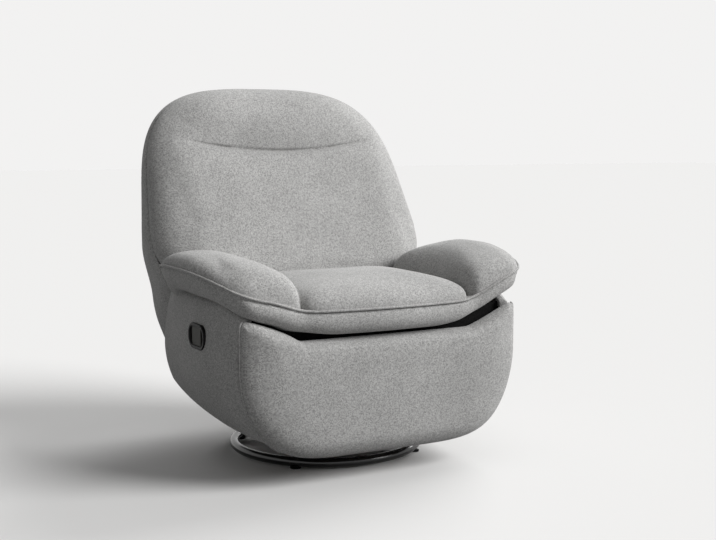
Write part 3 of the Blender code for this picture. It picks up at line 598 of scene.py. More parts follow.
def seat_point(u, v, w):
    across = abs(u) ** 4 / (abs(u) ** 4 + abs(w) ** 4 + 1e-9)
    section = SEAT_SECTION + SEAT_SIDE_SQUARER * across if v > 0 else TOP_UNDER_SQUARE
    a, depth, b = pillow(u, v, w, SEAT_CORNER, section)
    middle = (SEAT_FRONT_Y + SEAT_REAR_Y) / 2.0
    half = (SEAT_REAR_Y - SEAT_FRONT_Y) / 2.0
    bow = SEAT_FRONT_BOW * a ** 2 if b < 0.0 else 0.0
    lift = SEAT_CROWN if depth > 0.0 else TOP_UNDER
    return seat_x(a), middle + b * (half - bow), WELT_Z + depth * lift


seat_top = cut_block("seat_top", (43, 7, 43))
seat_seam = shaped(seat_top, seat_point)
plumped(seat_top, seat_seam, SWELL)
refined(seat_top)
upholstered(seat_top, "seat_unit", 0.8, "seat_cushion")


# Arms: two foam pillows sewn to the welt, high and square at the front inner corner and running
# out to a pinched tip at the rear, bolted down on the plywood side frames. They are stuffed by
# hand, and the sitter's left one is drawn up more at the front and fuller beside the back.
ARM_OUTER_X = 0.470
ARM_INNER_X = 0.2365
ARM_MIDDLE_Y = -0.110
ARM_FRONT_Y = -0.362
ARM_FRONT_BACK = 0.020
ARM_REAR_Y = 0.088
ARM_REAR_BACK = 0.040
ARM_CROWN = 0.098
ARM_LEFT_CROWN = 0.090
ARM_REAR_SECTION = 1.6
ARM_REAR_FULLER = 1.4
ARM_FRONT_SECTION = 3.2
ARM_INNER_SECTION = 2.1
ARM_INNER_FRONT_SQUARER = 1.1
ARM_INNER_REAR_FULLER = 0.9
ARM_OUTER_SECTION = 1.63
ARM_LEFT_OUTER_SECTION = 1.52
ARM_INNER_CORNER = 10.0
ARM_OUTER_CORNER = 3.2


def arm_outline(x, b):
    """The y of an arm's edge at a share b of the way from its middle."""
    out = (x - ARM_INNER_X) / (ARM_OUTER_X - ARM_INNER_X)
    if b > 0.0:
        return ARM_MIDDLE_Y + b * (ARM_REAR_Y + ARM_REAR_BACK * out ** 2 - ARM_MIDDLE_Y)
    return ARM_MIDDLE_Y + b * (ARM_MIDDLE_Y - ARM_FRONT_Y - ARM_FRONT_BACK * out ** 2)


def arm_corner(u, w):
    """How square an arm's corner is in plan: sharp beside the seat, round at the outside front."""
    return ARM_INNER_CORNER if u < 0.0 else ARM_OUTER_CORNER - 0.9 * ease(-w / 0.5)


def arm_x(side, a):
    """How far out a point is, a share a from the arm's middle; side is 1 on the sitter's left."""
    inner = ARM_INNER_X + (SEAT_LEAN if side > 0.0 else 0.0)
    return (inner + ARM_OUTER_X) / 2.0 + a * (ARM_OUTER_X - inner) / 2.0


def arm_point(side, u, v, w):
    """A point of an arm; its section is squarer at the front and inside, and full by the back."""
    full = ease((0.5 - u) / 1.3) if side > 0.0 else 0.0
    rear = ARM_REAR_SECTION + ARM_REAR_FULLER * full
    front = ARM_REAR_SECTION + (ARM_FRONT_SECTION - ARM_REAR_SECTION) * ease((0.9 - u) / 1.7)
    along = rear + (front - rear) * ease((1.0 - w) / 1.8)
    inner = ARM_INNER_SECTION + ARM_INNER_FRONT_SQUARER * ease((-0.1 - w) / 0.8)
    inner += ARM_INNER_REAR_FULLER * full * ease((w - 0.1) / 0.6)
    outer = ARM_OUTER_SECTION if side < 0.0 else ARM_LEFT_OUTER_SECTION
    across = outer + (inner - outer) * ease((1.0 - u) / 1.8)
    lean = u * u / (u * u + w * w + 1e-9)
    edge = along + (across - along) * lean
    a, depth, b = pillow(u, v, w, arm_corner(u, w), edge if v > 0 else TOP_UNDER_SQUARE)
    x = arm_x(side, a)
    crown = ARM_CROWN if side < 0.0 else ARM_LEFT_CROWN - welt_rise(x)
    lift = crown if depth > 0.0 else TOP_UNDER
    return side * x, arm_outline(x, b), welt_z(side * x) + depth * lift


for hand, side in (("left", 1.0), ("right", -1.0)):
    arm_top = cut_block("arm_top_" + hand, (25, 7, 47))
    corner_points = sorted((vert.co.y, vert.index) for vert in arm_top.data.vertices
                           if vert.co.x < -0.999 and vert.co.z < -0.999 and vert.co.y > -0.001)
    arm_seam = shaped(arm_top, lambda u, v, w: arm_point(side, u, v, w))
    plumped(arm_top, arm_seam, SWELL)
    corner_line = [tuple(arm_top.data.vertices[index].co) for _, index in corner_points]
    refined(arm_top)
    upholstered(arm_top, "seat_unit", 0.8, "arm_pad_" + hand)


# Band: the strip of padded cloth under the welt. It runs in one length from the back of one arm,
# round the front of the seat, to the back of the other, and turns under against the frame.
FRONT_SECTION = ((-0.006, 0.002), (-0.001, -0.003), (0.005, -0.009), (0.008, -0.021),
                 (0.0065, -0.033), (0.001, -0.043), (-0.010, -0.051), (-0.026, -0.055),
                 (-0.050, -0.058), (-0.080, -0.058), (-0.086, -0.045), (-0.086, -0.020),
                 (-0.070, -0.008), (-0.040, -0.002))
SIDE_SECTION = ((-0.006, 0.002), (-0.002, -0.003), (0.0005, -0.011), (-0.004, -0.025),
                (-0.010, -0.038), (-0.019, -0.050), (-0.031, -0.060), (-0.046, -0.066),
                (-0.062, -0.068), (-0.080, -0.068), (-0.088, -0.052), (-0.088, -0.024),
                (-0.070, -0.010), (-0.040, -0.002))
BAND_STEP = 0.008
BAND_CLOSING_ROWS = 12.0
BAND_END_OUT = 0.3
BAND_END_DEPTH = 0.15
BAND_SLIM = 0.14
BAND_SLIM_X = 0.200
BAND_SLIM_REACH = 0.080
BAND_DEEP = 0.13
BAND_DEEP_X = 0.140
BAND_DEEP_REACH = 0.100


def arm_share(side, u, w):
    """Where the edge of a block lies on an arm's outline, in plan."""
    corner = arm_corner(u, w)
    norm = (abs(u) ** corner + abs(w) ** corner) ** (1.0 / corner)
    x = arm_x(side, u / norm)
    return side * x, arm_outline(x, w / norm)


def rim_path():
    """The welt's line in plan, from the sitter's right rear to the left rear."""
    ends = {}
    for side in (-1.0, 1.0):
        ends[side] = [arm_share(side, -1.0 + step / 8.0, -1.0) for step in range(17)]
        ends[side] += [arm_share(side, 1.0, -1.0 + step / 16.0) for step in range(1, 33)]
        ends[side] += [arm_share(side, 1.0 - step / 10.0, 1.0) for step in range(1, 17)]
    front = [(seat_x(step / 16.0), SEAT_FRONT_Y + SEAT_FRONT_BOW * (step / 16.0) ** 2)
             for step in range(-15, 16)]
    return list(reversed(ends[-1.0])) + front + ends[1.0]


def evened(path, spacing):
    """The same path with points at even spacing, softened so that it has no kinks."""
    points = [Vector((x, y, 0.0)) for x, y in path]
    lengths = [0.0]
    for a, b in zip(points, points[1:]):
        lengths.append(lengths[-1] + (b - a).length)
    count = round(lengths[-1] / spacing)
    even, index = [], 0
    for step in range(count + 1):
        want = lengths[-1] * step / count
        while index < len(points) - 2 and lengths[index + 1] < want:
            index += 1
        share = (want - lengths[index]) / (lengths[index + 1] - lengths[index])
        even.append(points[index].lerp(points[index + 1], min(share, 1.0)))
    for _ in range(20):
        inside = [(a + 2.0 * b + c) / 4.0 for a, b, c in zip(even, even[1:], even[2:])]
        even = [even[0]] + inside + [even[-1]]
    return even


rim = evened(rim_path(), BAND_STEP)


def outward(path, index):
    """The way out from the seat, square to the path."""
    before, after = path[max(index - 1, 0)], path[min(index + 1, len(path) - 1)]
    run = after - before
    return Vector((run.y, -run.x, 0.0)).normalized()


bm = bmesh.new()
rows = []
for index, place in enumerate(rim):
    out = outward(rim, index)
    near_end = min(index, len(rim) - 1 - index) / BAND_CLOSING_ROWS
    close = math.sqrt(ease(near_end)) if near_end < 1.0 else 1.0
    row = []
    turned = ease((abs(out.x) - 0.35) / 0.5)
    slim = 1.0 - BAND_SLIM * ease((place.x - BAND_SLIM_X) / BAND_SLIM_REACH) * (1.0 - turned)
    slim += BAND_DEEP * (1.0 - ease((abs(place.x) - BAND_DEEP_X) / BAND_DEEP_REACH))
    for (front_out, front_up), (side_out, side_up) in zip(FRONT_SECTION, SIDE_SECTION):
        step_out = front_out + (side_out - front_out) * turned
        step_up = front_up + (side_up - front_up) * turned
        spot = place + out * (step_out * (BAND_END_OUT + (1.0 - BAND_END_OUT) * close))
        drop = step_up * slim * (BAND_END_DEPTH + (1.0 - BAND_END_DEPTH) * close)
        row.append(bm.verts.new((spot.x, spot.y + SWIVEL_Y, welt_z(place.x) + drop)))
    rows.append(row)
for one, two in zip(rows, rows[1:]):
    for number in range(len(one)):
        after = (number + 1) % len(one)
        bm.faces.new((one[number], one[after], two[after], two[number]))
bm.faces.new(rows[0])
bm.faces.new(list(reversed(rows[-1])))
bmesh.ops.recalc_face_normals(bm, faces=bm.faces)
band_mesh = bpy.data.meshes.new("seat_band")
bm.to_mesh(band_mesh)
bm.free()
seat_band = bpy.data.objects.new("seat_band", band_mesh)
bpy.context.scene.collection.objects.link(seat_band)
refined(seat_band)
upholstered(seat_band, "seat_unit", 0.7)


# Welt: a thin cord in a bias strip of the same cloth, sewn between the tops and the band. It
# stands a little proud and throws the fine shadow line under it. The right arm, which is made
# last, also has a sewn edge up its front inner corner.
WELT_R = 0.0033
WELT_OUT = 0.0036
WELT_UP = 0.0010
PUCKER = 0.09
PUCKER_STEP = 1.45
CORNER_R = 0.0013


def corded(name, points, radius, pucker=0.0):
    """A round cord through points, as a mesh, thick and thin by a share as stitches draw it in."""
    curve = bpy.data.curves.new(name, "CURVE")
    curve.dimensions = "3D"
    curve.bevel_depth = radius
    curve.bevel_resolution = 3
    curve.use_fill_caps = True
    spline = curve.splines.new("POLY")
    spline.points.add(len(points) - 1)
    for number, (spot, point) in enumerate(zip(spline.points, points)):
        spot.co = (*point, 1.0)
        spot.radius = 1.0 + pucker * math.sin(PUCKER_STEP * number)
    cord = bpy.data.objects.new(name, curve)
    bpy.context.scene.collection.objects.link(cord)
    chosen(cord)
    bpy.ops.object.convert(target="MESH")
    bpy.ops.object.shade_smooth()
    return bpy.context.object


welt_line = []
for index, place in enumerate(rim):
    spot = place + outward(rim, index) * WELT_OUT
    welt_line.append((spot.x, spot.y + SWIVEL_Y, welt_z(place.x) + WELT_UP))
seat_welt = corded("seat_welt", welt_line, WELT_R, PUCKER)
upholstered(seat_welt, "seat_unit", None)
upholstered(corded("arm_corner_right", corner_line, CORNER_R), "seat_unit", None)


# Side panels: board and wadding in cloth, curved under towards the ring and stapled to the side
# frames. The right one is cut for the latch.
SIDE_HALF_W = 0.432
SIDE_FRONT_Y = -0.3285
SIDE_REAR_Y = 0.200
SIDE_TOP_Z = 0.426
SIDE_MID_Z = 0.300
SIDE_TURN_X = 0.200
SIDE_FLOOR_Z = 0.060
SIDE_LOW_FRONT_Z = 0.092
SIDE_LOW_REAR_Z = 0.190
SIDE_T = 0.028
SIDE_DRAW_IN = 0.033
SIDE_DRAW_IN_Y = -0.130
SIDE_TOP_RISE = 0.034
SIDE_TOP_RISE_Y = -0.340
SIDE_TOP_RISE_REACH = 0.110
SIDE_TOP_LEAN = 0.013
SIDE_UPRIGHT_SHARE = 0.3
SIDE_RUN_DOWN = 0.40
SIDE_REAR_SLOPE = 0.40
SIDE_REAR_TAPER = 0.075
SIDE_REAR_TAPER_Y = -0.100
SIDE_FRONT_ROLL = 0.005
SIDE_TOP_ROLL = 0.016
SIDE_ROLL = 0.012
LATCH_Y = -0.130
LATCH_Z = 0.360
LATCH_L = 0.108
LATCH_H = 0.064
LATCH_FACE_X = -0.4328
LATCH_DEPTH = 0.034
LATCH_HOLE_INSIDE = 0.008
LATCH_HOLE_CORNER = 0.026


def side_point(s, t):
    """A point of the outside of a side panel: s runs front to rear and t from the top down."""
    rear = SIDE_REAR_Y - SIDE_REAR_SLOPE * max(0.0, 0.090 - t * 0.300)
    y = SIDE_FRONT_Y + s * (rear - SIDE_FRONT_Y)
    low = SIDE_LOW_FRONT_Z + (SIDE_LOW_REAR_Z - SIDE_LOW_FRONT_Z) * s
    deep = SIDE_MID_Z - SIDE_FLOOR_Z
    if t < SIDE_UPRIGHT_SHARE:
        top = SIDE_TOP_Z + SIDE_TOP_RISE * ease((y - SIDE_TOP_RISE_Y) / SIDE_TOP_RISE_REACH)
        z = top + (SIDE_MID_Z - top) * t / SIDE_UPRIGHT_SHARE
        x = SIDE_HALF_W - SIDE_TOP_LEAN * ((z - SIDE_MID_Z) / (SIDE_TOP_Z - SIDE_MID_Z)) ** 2
    else:
        last = math.asin(min((SIDE_MID_Z - low) / deep, 0.99))
        angle = last * (t - SIDE_UPRIGHT_SHARE) / (1.0 - SIDE_UPRIGHT_SHARE)
        z = SIDE_MID_Z - deep * math.sin(angle)
        x = SIDE_TURN_X + (SIDE_HALF_W - SIDE_TURN_X) * math.cos(angle)
    x *= 1.0 - SIDE_REAR_TAPER * max(0.0, (y - SIDE_REAR_TAPER_Y) / (SIDE_REAR_Y - SIDE_REAR_TAPER_Y)) ** 2
    x -= SIDE_DRAW_IN * max(0.0, (SIDE_DRAW_IN_Y - y) / (SIDE_DRAW_IN_Y - SIDE_FRONT_Y)) ** 2
    return Vector((x, y, z))


def side_shell(u, v, w):
    """The panel's faces, v 1 outside and -1 inside, rolled over at the edges."""
    def softened(t):
        return 0.5 + 0.5 * math.copysign(1.0 - (1.0 - abs(t)) ** 1.25, t)

    s, t = softened(u), softened(-w)
    spot = side_point(s, t)
    along = side_point(min(s + 0.01, 1.0), t) - side_point(max(s - 0.01, 0.0), t)
    down = side_point(s, min(t + 0.01, 1.0)) - side_point(s, max(t - 0.01, 0.0))
    normal = along.cross(down)
    if normal.x < 0.0:
        normal.negate()
    normal.normalize()
    depth = (1.0 - v) / 2.0 * SIDE_T
    edge_s = min(s, 1.0 - s) * (SIDE_REAR_Y - SIDE_FRONT_Y)
    edge_t = min(t, 1.0 - t) * SIDE_RUN_DOWN
    drop = 0.0
    for edge, roll in ((edge_s, SIDE_FRONT_ROLL if s < 0.5 else SIDE_ROLL),
                       (edge_t, SIDE_TOP_ROLL if t < 0.5 else SIDE_ROLL)):
        if edge < roll:
            drop = max(drop, roll - math.sqrt(roll ** 2 - (roll - edge) ** 2))
    depth = max(depth, min(drop, SIDE_T * 0.45))
    return spot - normal * depth


def mirrored(piece, name):
    """A copy of a finished piece for the sitter's other side, with a mesh of its own."""
    other = piece.copy()
    other.data = piece.data.copy()
    other.name = name
    other.data.name = name
    bpy.context.scene.collection.objects.link(other)
    other.data.transform(Matrix.Scale(-1.0, 4, (1.0, 0.0, 0.0)))
    other.data.flip_normals()
    return other


side_cover_left = cut_block("side_cover_left", (47, 3, 37))
shaped(side_cover_left, side_shell)
refined(side_cover_left)
side_cover_right = mirrored(side_cover_left, "side_cover_right")


def rounded_block(name, size, place, corner, segments=8):
    """A block whose four long edges along x are rounded."""
    bpy.ops.mesh.primitive_cube_add(size=1.0, location=place)
    block = bpy.context.object
    block.name = name
    block.scale = size
    bpy.ops.object.transform_apply(location=True, rotation=True, scale=True)
    pick_edges(block, 0)
    bpy.ops.mesh.bevel(offset=corner, segments=segments, profile=0.5)
    bpy.ops.object.mode_set(mode="OBJECT")
    return block


latch_place = (LATCH_FACE_X + LATCH_DEPTH / 2.0, LATCH_Y + SWIVEL_Y, LATCH_Z)
latch_hole = rounded_block("latch_hole", (0.12, LATCH_L - LATCH_HOLE_INSIDE, LATCH_H - LATCH_HOLE_INSIDE),
                           latch_place, LATCH_HOLE_CORNER)
opening = side_cover_right.modifiers.new("opening", "BOOLEAN")
opening.operation = "DIFFERENCE"
opening.solver = "EXACT"
opening.object = latch_hole
applied(side_cover_right, opening)
bpy.data.objects.remove(latch_hole, do_unlink=True)
upholstered(side_cover_left, "seat_unit", 0.7, "side_panel_left")
upholstered(side_cover_right, "seat_unit", 0.7, "side_panel_right")


# Latch: a moulded black surround clipped into the right side panel, with a finger pocket. The
# flap hinged in it pulls the release cable.
LATCH_CORNER = 0.0300
POCKET_H = 0.0506
POCKET_DEPTH = 0.026
POCKET_LIP = 0.0012
POCKET_LIP_DEPTH = 0.0020
MOULDED_EDGE = 0.0016


def pick_faces(piece, wanted):
    """Open a piece for editing, with the faces selected for which wanted(face) is true."""
    bpy.ops.object.mode_set(mode="EDIT")
    bpy.ops.mesh.select_mode(type="FACE")
    bpy.ops.mesh.select_all(action="DESELECT")
    bm = bmesh.from_edit_mesh(piece.data)
    for face in bm.faces:
        face.select_set(wanted(face))
    bmesh.update_edit_mesh(piece.data)


latch_surround = rounded_block("latch_surround", (LATCH_DEPTH, LATCH_L, LATCH_H), latch_place,
                               LATCH_CORNER, 12)
pick_faces(latch_surround, lambda face: face.normal.x < -0.9)
bpy.ops.mesh.inset(thickness=(LATCH_H - POCKET_H) / 2.0)
bpy.ops.mesh.inset(thickness=POCKET_LIP)
bpy.ops.transform.translate(value=(POCKET_LIP_DEPTH, 0.0, 0.0))
bpy.ops.mesh.extrude_region_move(
    TRANSFORM_OT_translate={"value": (POCKET_DEPTH - POCKET_LIP_DEPTH, 0.0, 0.0)})
bpy.ops.object.mode_set(mode="OBJECT")
soft_edge = latch_surround.modifiers.new("moulded_edge", "BEVEL")
soft_edge.width = MOULDED_EDGE
soft_edge.segments = 3
soft_edge.limit_method = "ANGLE"
soft_edge.angle_limit = math.radians(40.0)
applied(latch_surround, soft_edge)
bpy.ops.object.shade_smooth_by_angle(angle=math.radians(35.0))
latch_surround.data.materials.append(moulded_black)
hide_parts("latch_bezel")
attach(latch_surround, "seat_unit")

flap_plastic, nodes, links, shader = new_material("flap_plastic")
mottled(nodes, links, shader, 40.0, 3.0, (0.017, 0.017, 0.014), (0.023, 0.023, 0.019))
shader.inputs["Roughness"].default_value = 0.48
shader.inputs["Specular IOR Level"].default_value = 0.12
for place in frame["nodes"]["latch_flap"].material_slots:
    place.material = flap_plastic


# Lining: black spunbonded cloth stapled across the front rail, partly a real lining and partly painted shade:
# its near-black sheet makes the gap over the front panel dark. It hangs a little loose between the staples.
LINING_HALF_W = 0.378
LINING_Y = -0.3020
LINING_T = 0.0016
LINING_LOW_Z = 0.341
LINING_HIGH_Z = 0.404
LINING_HORN = 0.016
LINING_AHEAD = 0.0030
LINING_SAG = 0.0012
LINING_WAVES = 19.0

front_lining = cut_block("front_lining", (47, 1, 7))
for vert in front_lining.data.vertices:
    sag = LINING_SAG * math.sin(vert.co.x * LINING_WAVES) * (1.0 - vert.co.z) / 2.0
    vert.co = (vert.co.x * LINING_HALF_W,
               SWIVEL_Y + LINING_Y - LINING_AHEAD + vert.co.y * LINING_T / 2.0 + sag,
               LINING_LOW_Z + (vert.co.z + 1.0) / 2.0
               * (LINING_HIGH_Z - LINING_LOW_Z + LINING_HORN * vert.co.x ** 2))
bpy.ops.object.shade_smooth_by_angle(angle=math.radians(40.0))
# Painted shade: the sheet's near-black colour stands for the shade in the gap over the front panel.
lining_cloth, nodes, links, shader = new_material("lining_cloth")
fibre = mottled(nodes, links, shader, 260.0, 4.0, (0.006, 0.006, 0.006), (0.014, 0.014, 0.014))
shader.inputs["Roughness"].default_value = 0.95
shader.inputs["Specular IOR Level"].default_value = 0.1
bumped(nodes, links, shader, fibre, 0.3, 0.0006)
front_lining.data.materials.append(lining_cloth)
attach(front_lining, "seat_unit")


# Rocker springs: four coils of round zinc-plated wire with closed ends, stood on the rocker's base
# plate under the cross tubes. They give as the seat rocks; each is coiled straight up from the plate to the tube.
SPRING_R = 0.0175
SPRING_WIRE_R = 0.0025
SPRING_CURLS = 5
SPRING_POINTS = 24
SPRING_END_PITCH = 0.1

for end in ("front_left", "front_right", "rear_left", "rear_right"):
    node = "rocker_spring_" + end
    low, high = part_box(node)
    x, y = (low[0] + high[0]) / 2.0, (low[1] + high[1]) / 2.0
    foot, head = low[2] + SPRING_WIRE_R, high[2] - SPRING_WIRE_R
    coil = []
    for step in range(SPRING_CURLS * SPRING_POINTS + 1):
        turn = step / SPRING_POINTS
        rise = min(max((turn - 0.5) / (SPRING_CURLS - 1.0), 0.0), 1.0)
        rise = (1.0 - SPRING_END_PITCH) * rise + SPRING_END_PITCH * turn / SPRING_CURLS
        coil.append((x + SPRING_R * math.cos(math.tau * turn), y + SPRING_R * math.sin(math.tau * turn),
                     foot + (head - foot) * rise))
    rocker_spring = corded("spring_" + end, coil, SPRING_WIRE_R)
    rocker_spring.data.materials.append(zinc)
    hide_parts(node)
    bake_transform(rocker_spring)


# Front panel: the leg rest's thick pad on its plywood board. Its face is bowed, its edges roll
# back to the board, and its top is scooped under the seat between two raised corners.
PAD_HALF_W = 0.398
PAD_BACK_Y = -0.330
PAD_T = 0.054
PAD_BOW = 0.012
PAD_TOP_Z = 0.363
PAD_HORN_Z = 0.429
PAD_SCOOP_X = 0.246
PAD_BOTTOM_Z = 0.062
PAD_TOP_CORNER = 24.0
PAD_BOTTOM_CORNER = 9.0
PAD_SIDE_ROLL = 0.26
PAD_TOP_ROLL = 0.14
PAD_BOTTOM_ROLL = 0.34
PAD_ROLL_SQUARE = 1.85
PAD_RIGHT_CLIMB = 0.75
PAD_LEFT_CLIMB = 1.15
PAD_SWELL = 0.006
PAD_PUCKER = 0.0035
PAD_PUCKER_REACH = 0.045
PAD_PUCKER_FOLDS = 9.0
PAD_PIPING_R = 0.0021
PAD_PIPING_OUT = 0.0006
PAD_PIPING_AHEAD = 0.0014


def pad_point(u, v, w):
    corner = PAD_TOP_CORNER if w > 0.0 else PAD_BOTTOM_CORNER
    a, _, b = pillow(u, v, w, corner, 3.0, 0.7)
    depth = rolled(a, b, v, corner, PAD_SIDE_ROLL, PAD_TOP_ROLL, PAD_BOTTOM_ROLL, PAD_ROLL_SQUARE)
    share = (b + 1.0) / 2.0
    height = PAD_BOTTOM_Z + share * (PAD_HORN_Z - PAD_BOTTOM_Z)
    down = min(max((SIDE_MID_Z - height) / (SIDE_MID_Z - PAD_BOTTOM_Z), 0.0), 0.995)
    half = SIDE_TURN_X + (PAD_HALF_W - SIDE_TURN_X) * math.sqrt(1.0 - down ** 2)
    x = a * half
    climb = max(0.0, (abs(x) - PAD_SCOOP_X) / (PAD_HALF_W - PAD_SCOOP_X))
    top = PAD_TOP_Z + (PAD_HORN_Z - PAD_TOP_Z) * climb ** (PAD_RIGHT_CLIMB if x < 0.0 else PAD_LEFT_CLIMB)
    z = PAD_BOTTOM_Z + share * (top - PAD_BOTTOM_Z)
    bow = PAD_BOW * (1.0 - (x / PAD_HALF_W) ** 2)
    return x, PAD_BACK_Y - depth * (PAD_T - PAD_BOW + bow), z


front_cover = cut_block("front_cover", (71, 7, 35), 0.0)
front_seam = shaped(front_cover, pad_point)
plumped(front_cover, front_seam, PAD_SWELL)
refined(front_cover)
for vert in front_cover.data.vertices:
    across, down = PAD_HALF_W - abs(vert.co.x), PAD_HORN_Z - vert.co.z
    near = 1.0 - math.hypot(across, down) / PAD_PUCKER_REACH
    if near > 0.0:
        front = ease((PAD_BACK_Y + SWIVEL_Y - vert.co.y) / 0.010)
        vert.co.y += PAD_PUCKER * near * front * math.sin(PAD_PUCKER_FOLDS * math.atan2(down, across))
upholstered(front_cover, "footrest", 0.7, "footrest_pad")

for name, side in (("front_piping_left", 1.0), ("front_piping_right", -1.0)):
    line = []
    for step in range(61):
        x, y, z = pad_point(side, 0.0, -0.85 + 1.83 * step / 60.0)
        line.append((x + side * PAD_PIPING_OUT, y + SWIVEL_Y - PAD_PIPING_AHEAD, z))
    upholstered(corded(name, line, PAD_PIPING_R, PUCKER), "footrest", None)


# Back: a deep foam cushion with a rolled head section, sewn in along a shallow curved seam, in
# front of a padded outside back. The two covers meet at a seam down each side.
BACK_TOP_Z = 1.006
BACK_MID_Z = 0.700
BACK_CUSHION_Z = 0.432
BACK_COVER_Z = 0.200
BACK_HALF_W = 0.423
BACK_WIDEST_Z = 0.600
BACK_TAPER = 0.12
BACK_LOW_HALF_W = 0.390
BACK_LOW_NARROWING = 0.90
BACK_LOW_Z = 0.450
BACK_FLARE_Z = 0.400
BACK_FLARE_REACH = 0.160
BACK_TOP_CORNER = 3.3
BACK_BOTTOM_CORNER = 6.0
BACK_SIDE_ROLL = 0.30
BACK_TOP_ROLL = 0.17
BACK_BOTTOM_ROLL = 0.20
BACK_HOOD_Y = 0.170
BACK_PADDING = 0.080
BACK_FRONT_LEAN = 0.10
BACK_REAR_Y = 0.485
BACK_REAR_TUCK = 0.075
BACK_REAR_TUCK_Z = 0.950
BACK_REAR_TUCK_REACH = 0.750
SEAM_Y = 0.362
SEAM_Z = 0.845
SEAM_LEAN = 0.45
SEAM_PINCH = 0.012
SEAM_PINCH_REACH = 0.009
HEAD_SEAM_Z = 0.820
HEAD_SEAM_HALF_W = 0.285
HEAD_SEAM_SAG = 0.030
HEAD_GROOVE = 0.0075
HEAD_GROOVE_REACH = 0.0036
HEAD_DRAW_IN = 0.009
HEAD_DRAW_ABOVE = 0.024
HEAD_DRAW_BELOW = 0.009
HEAD_ROLL = 0.009
HEAD_ROLL_UP = 0.085
HEAD_ROLL_REACH = 0.050
HEAD_ROLL_HALF_W = 0.400
HEAD_ROLL_FADE = 0.260
COVER_T = 0.012
COVER_BOTTOM_CORNER = 9.0
COVER_GAP = 0.0008
COVER_HOOD_UP = 0.020
COVER_HOOD_REACH = 0.040
COVER_FOOT = 0.100
COVER_FOOT_SLOPE = 1.3
TUCK_REACH = 0.120
TUCK_SHARE = 0.06


def seam_y(z):
    return SEAM_Y + SEAM_LEAN * (z - SEAM_Z)


def back_half_w(z):
    if z > BACK_WIDEST_Z:
        return BACK_HALF_W - BACK_TAPER * (z - BACK_WIDEST_Z)
    low = BACK_LOW_HALF_W - BACK_LOW_NARROWING * max(0.0, BACK_LOW_Z - z) ** 2
    return low + (BACK_HALF_W - low) * ease((z - BACK_FLARE_Z) / BACK_FLARE_REACH)


def back_front_y(z):
    return seam_y(z) - BACK_PADDING - BACK_FRONT_LEAN * (SEAM_Z - z)


def back_rear_y(z):
    return BACK_REAR_Y - BACK_REAR_TUCK * max(0.0, (BACK_REAR_TUCK_Z - z) / BACK_REAR_TUCK_REACH) ** 1.7


def head_seam_z(x):
    return HEAD_SEAM_Z + HEAD_SEAM_SAG * (x / HEAD_SEAM_HALF_W) ** 2


def back_z(b, bottom):
    """The height of a share b of the way from the back's middle to its top, or down to bottom."""
    return BACK_MID_Z + b * ((BACK_TOP_Z - BACK_MID_Z) if b > 0.0 else (BACK_MID_Z - bottom))


def side_seam_pinch(x, y, z):
    """Draw a point in where the two back covers are sewn together."""
    pull = 1.0 - SEAM_PINCH * math.exp(-abs(y - seam_y(z)) / SEAM_PINCH_REACH)
    if z < BACK_MID_Z:
        return x * pull, y, z
    return x * pull, y, BACK_MID_Z + (z - BACK_MID_Z) * pull


def back_point(u, v, w):
    corner = BACK_TOP_CORNER if w > 0.0 else BACK_BOTTOM_CORNER
    a, _, b = pillow(u, v, w, corner, 3.2)
    if b > 0.0:
        reach = (abs(a) ** corner + b ** corner) ** (1.0 / corner)
        high = BACK_TOP_Z - BACK_MID_Z
        seam_b = (HEAD_SEAM_Z - BACK_MID_Z) / high
        rise = (head_seam_z(a * BACK_HALF_W) - HEAD_SEAM_Z) / high
        b += rise * math.exp(-((b - seam_b) / 0.22) ** 2) * max(0.0, 1.0 - reach ** 3) * ease(b / 0.15)
    depth = rolled(a, b, v, corner, BACK_SIDE_ROLL, BACK_TOP_ROLL, BACK_BOTTOM_ROLL)
    z = back_z(b, BACK_CUSHION_Z)
    x = a * back_half_w(z)
    front = seam_y(z) - back_front_y(z)
    return side_seam_pinch(x, seam_y(z) - depth * front, z)


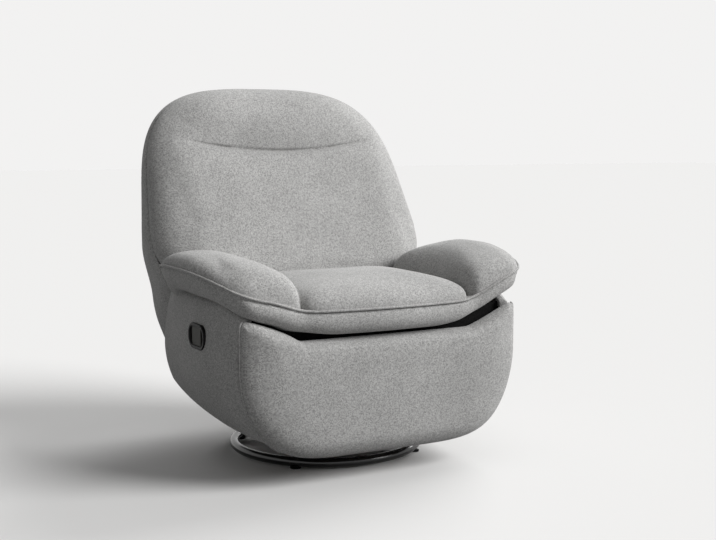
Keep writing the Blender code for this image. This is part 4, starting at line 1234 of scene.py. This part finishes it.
back_front = cut_block("back_front", (63, 7, 95), 0.0)
back_seam = shaped(back_front, back_point)
head_seam = [vert.index for vert in back_front.data.vertices
             if abs(vert.co.z - head_seam_z(vert.co.x)) < 0.004 and abs(vert.co.x) < HEAD_SEAM_HALF_W
             and vert.co.y < seam_y(vert.co.z) + SWIVEL_Y - 0.04]
plumped(back_front, back_seam + head_seam, SWELL)
refined(back_front)
for vert in back_front.data.vertices:
    x, y, z = vert.co.x, vert.co.y - SWIVEL_Y, vert.co.z
    facing = ease((seam_y(z) - y - 0.025) / 0.030)
    above = z - head_seam_z(x)
    sewn = max(0.0, 1.0 - (x / HEAD_SEAM_HALF_W) ** 2) ** 0.8 * facing
    rolls = ease((HEAD_ROLL_HALF_W - abs(x)) / HEAD_ROLL_FADE) * facing
    step = HEAD_GROOVE * sewn ** 0.6 * math.exp(-(above / HEAD_GROOVE_REACH) ** 2)
    if above > 0.0:
        step += HEAD_DRAW_IN * sewn * math.exp(-above / HEAD_DRAW_ABOVE)
        step -= HEAD_ROLL * rolls * math.exp(-((above - HEAD_ROLL_UP) / HEAD_ROLL_REACH) ** 2)
    else:
        step += HEAD_DRAW_IN * sewn * math.exp(above / HEAD_DRAW_BELOW)
    vert.co.y += step
upholstered(back_front, "backrest", 0.8, "back_cushion")


def cover_point(u, v, w):
    """A point of the outside back, which hoods forward under the cushion and tucks in there."""
    square = 2.9 + 2.6 * ease((-0.16 - w) / 0.55)
    corner = BACK_TOP_CORNER if w > 0.0 else COVER_BOTTOM_CORNER
    a, depth, b = pillow(u, max(v, 0.0), w, corner, square)
    z = back_z(b, BACK_COVER_Z)
    x = a * back_half_w(z)
    hood = ease((BACK_CUSHION_Z + COVER_HOOD_UP - z) / COVER_HOOD_REACH)
    start = (seam_y(z) - COVER_GAP) * (1.0 - hood) + BACK_HOOD_Y * hood
    start += COVER_FOOT_SLOPE * max(0.0, BACK_COVER_Z + COVER_FOOT - z)
    y = start + depth * (back_rear_y(z) - start)
    tuck = hood * max(0.0, (BACK_HOOD_Y + TUCK_REACH - y) / TUCK_REACH) ** 2
    if hood > 0.0:
        return x * (1.0 - TUCK_SHARE * tuck), y, z
    return side_seam_pinch(x, y, z)


back_shell = cut_block("back_shell", (55, 15, 63), 0.0)
pick_faces(back_shell, lambda face: all(abs(vert.co.y) < 1e-6 for vert in face.verts))
bpy.ops.mesh.delete(type="FACE")
bpy.ops.object.mode_set(mode="OBJECT")
for vert in back_shell.data.vertices:
    x, y, z = cover_point(*vert.co)
    vert.co = (x, y + SWIVEL_Y, z)
bm = bmesh.new()
bm.from_mesh(back_shell.data)
bmesh.ops.recalc_face_normals(bm, faces=bm.faces)
if sum(face.normal.y * face.calc_area() for face in bm.faces) < 0.0:
    bmesh.ops.reverse_faces(bm, faces=bm.faces)
bm.to_mesh(back_shell.data)
bm.free()
wall = back_shell.modifiers.new("wadding", "SOLIDIFY")
wall.thickness = COVER_T
wall.offset = -1.0
applied(back_shell, wall)
refined(back_shell)
upholstered(back_shell, "backrest", 0.5, "back_cover")

low, high = cad_box
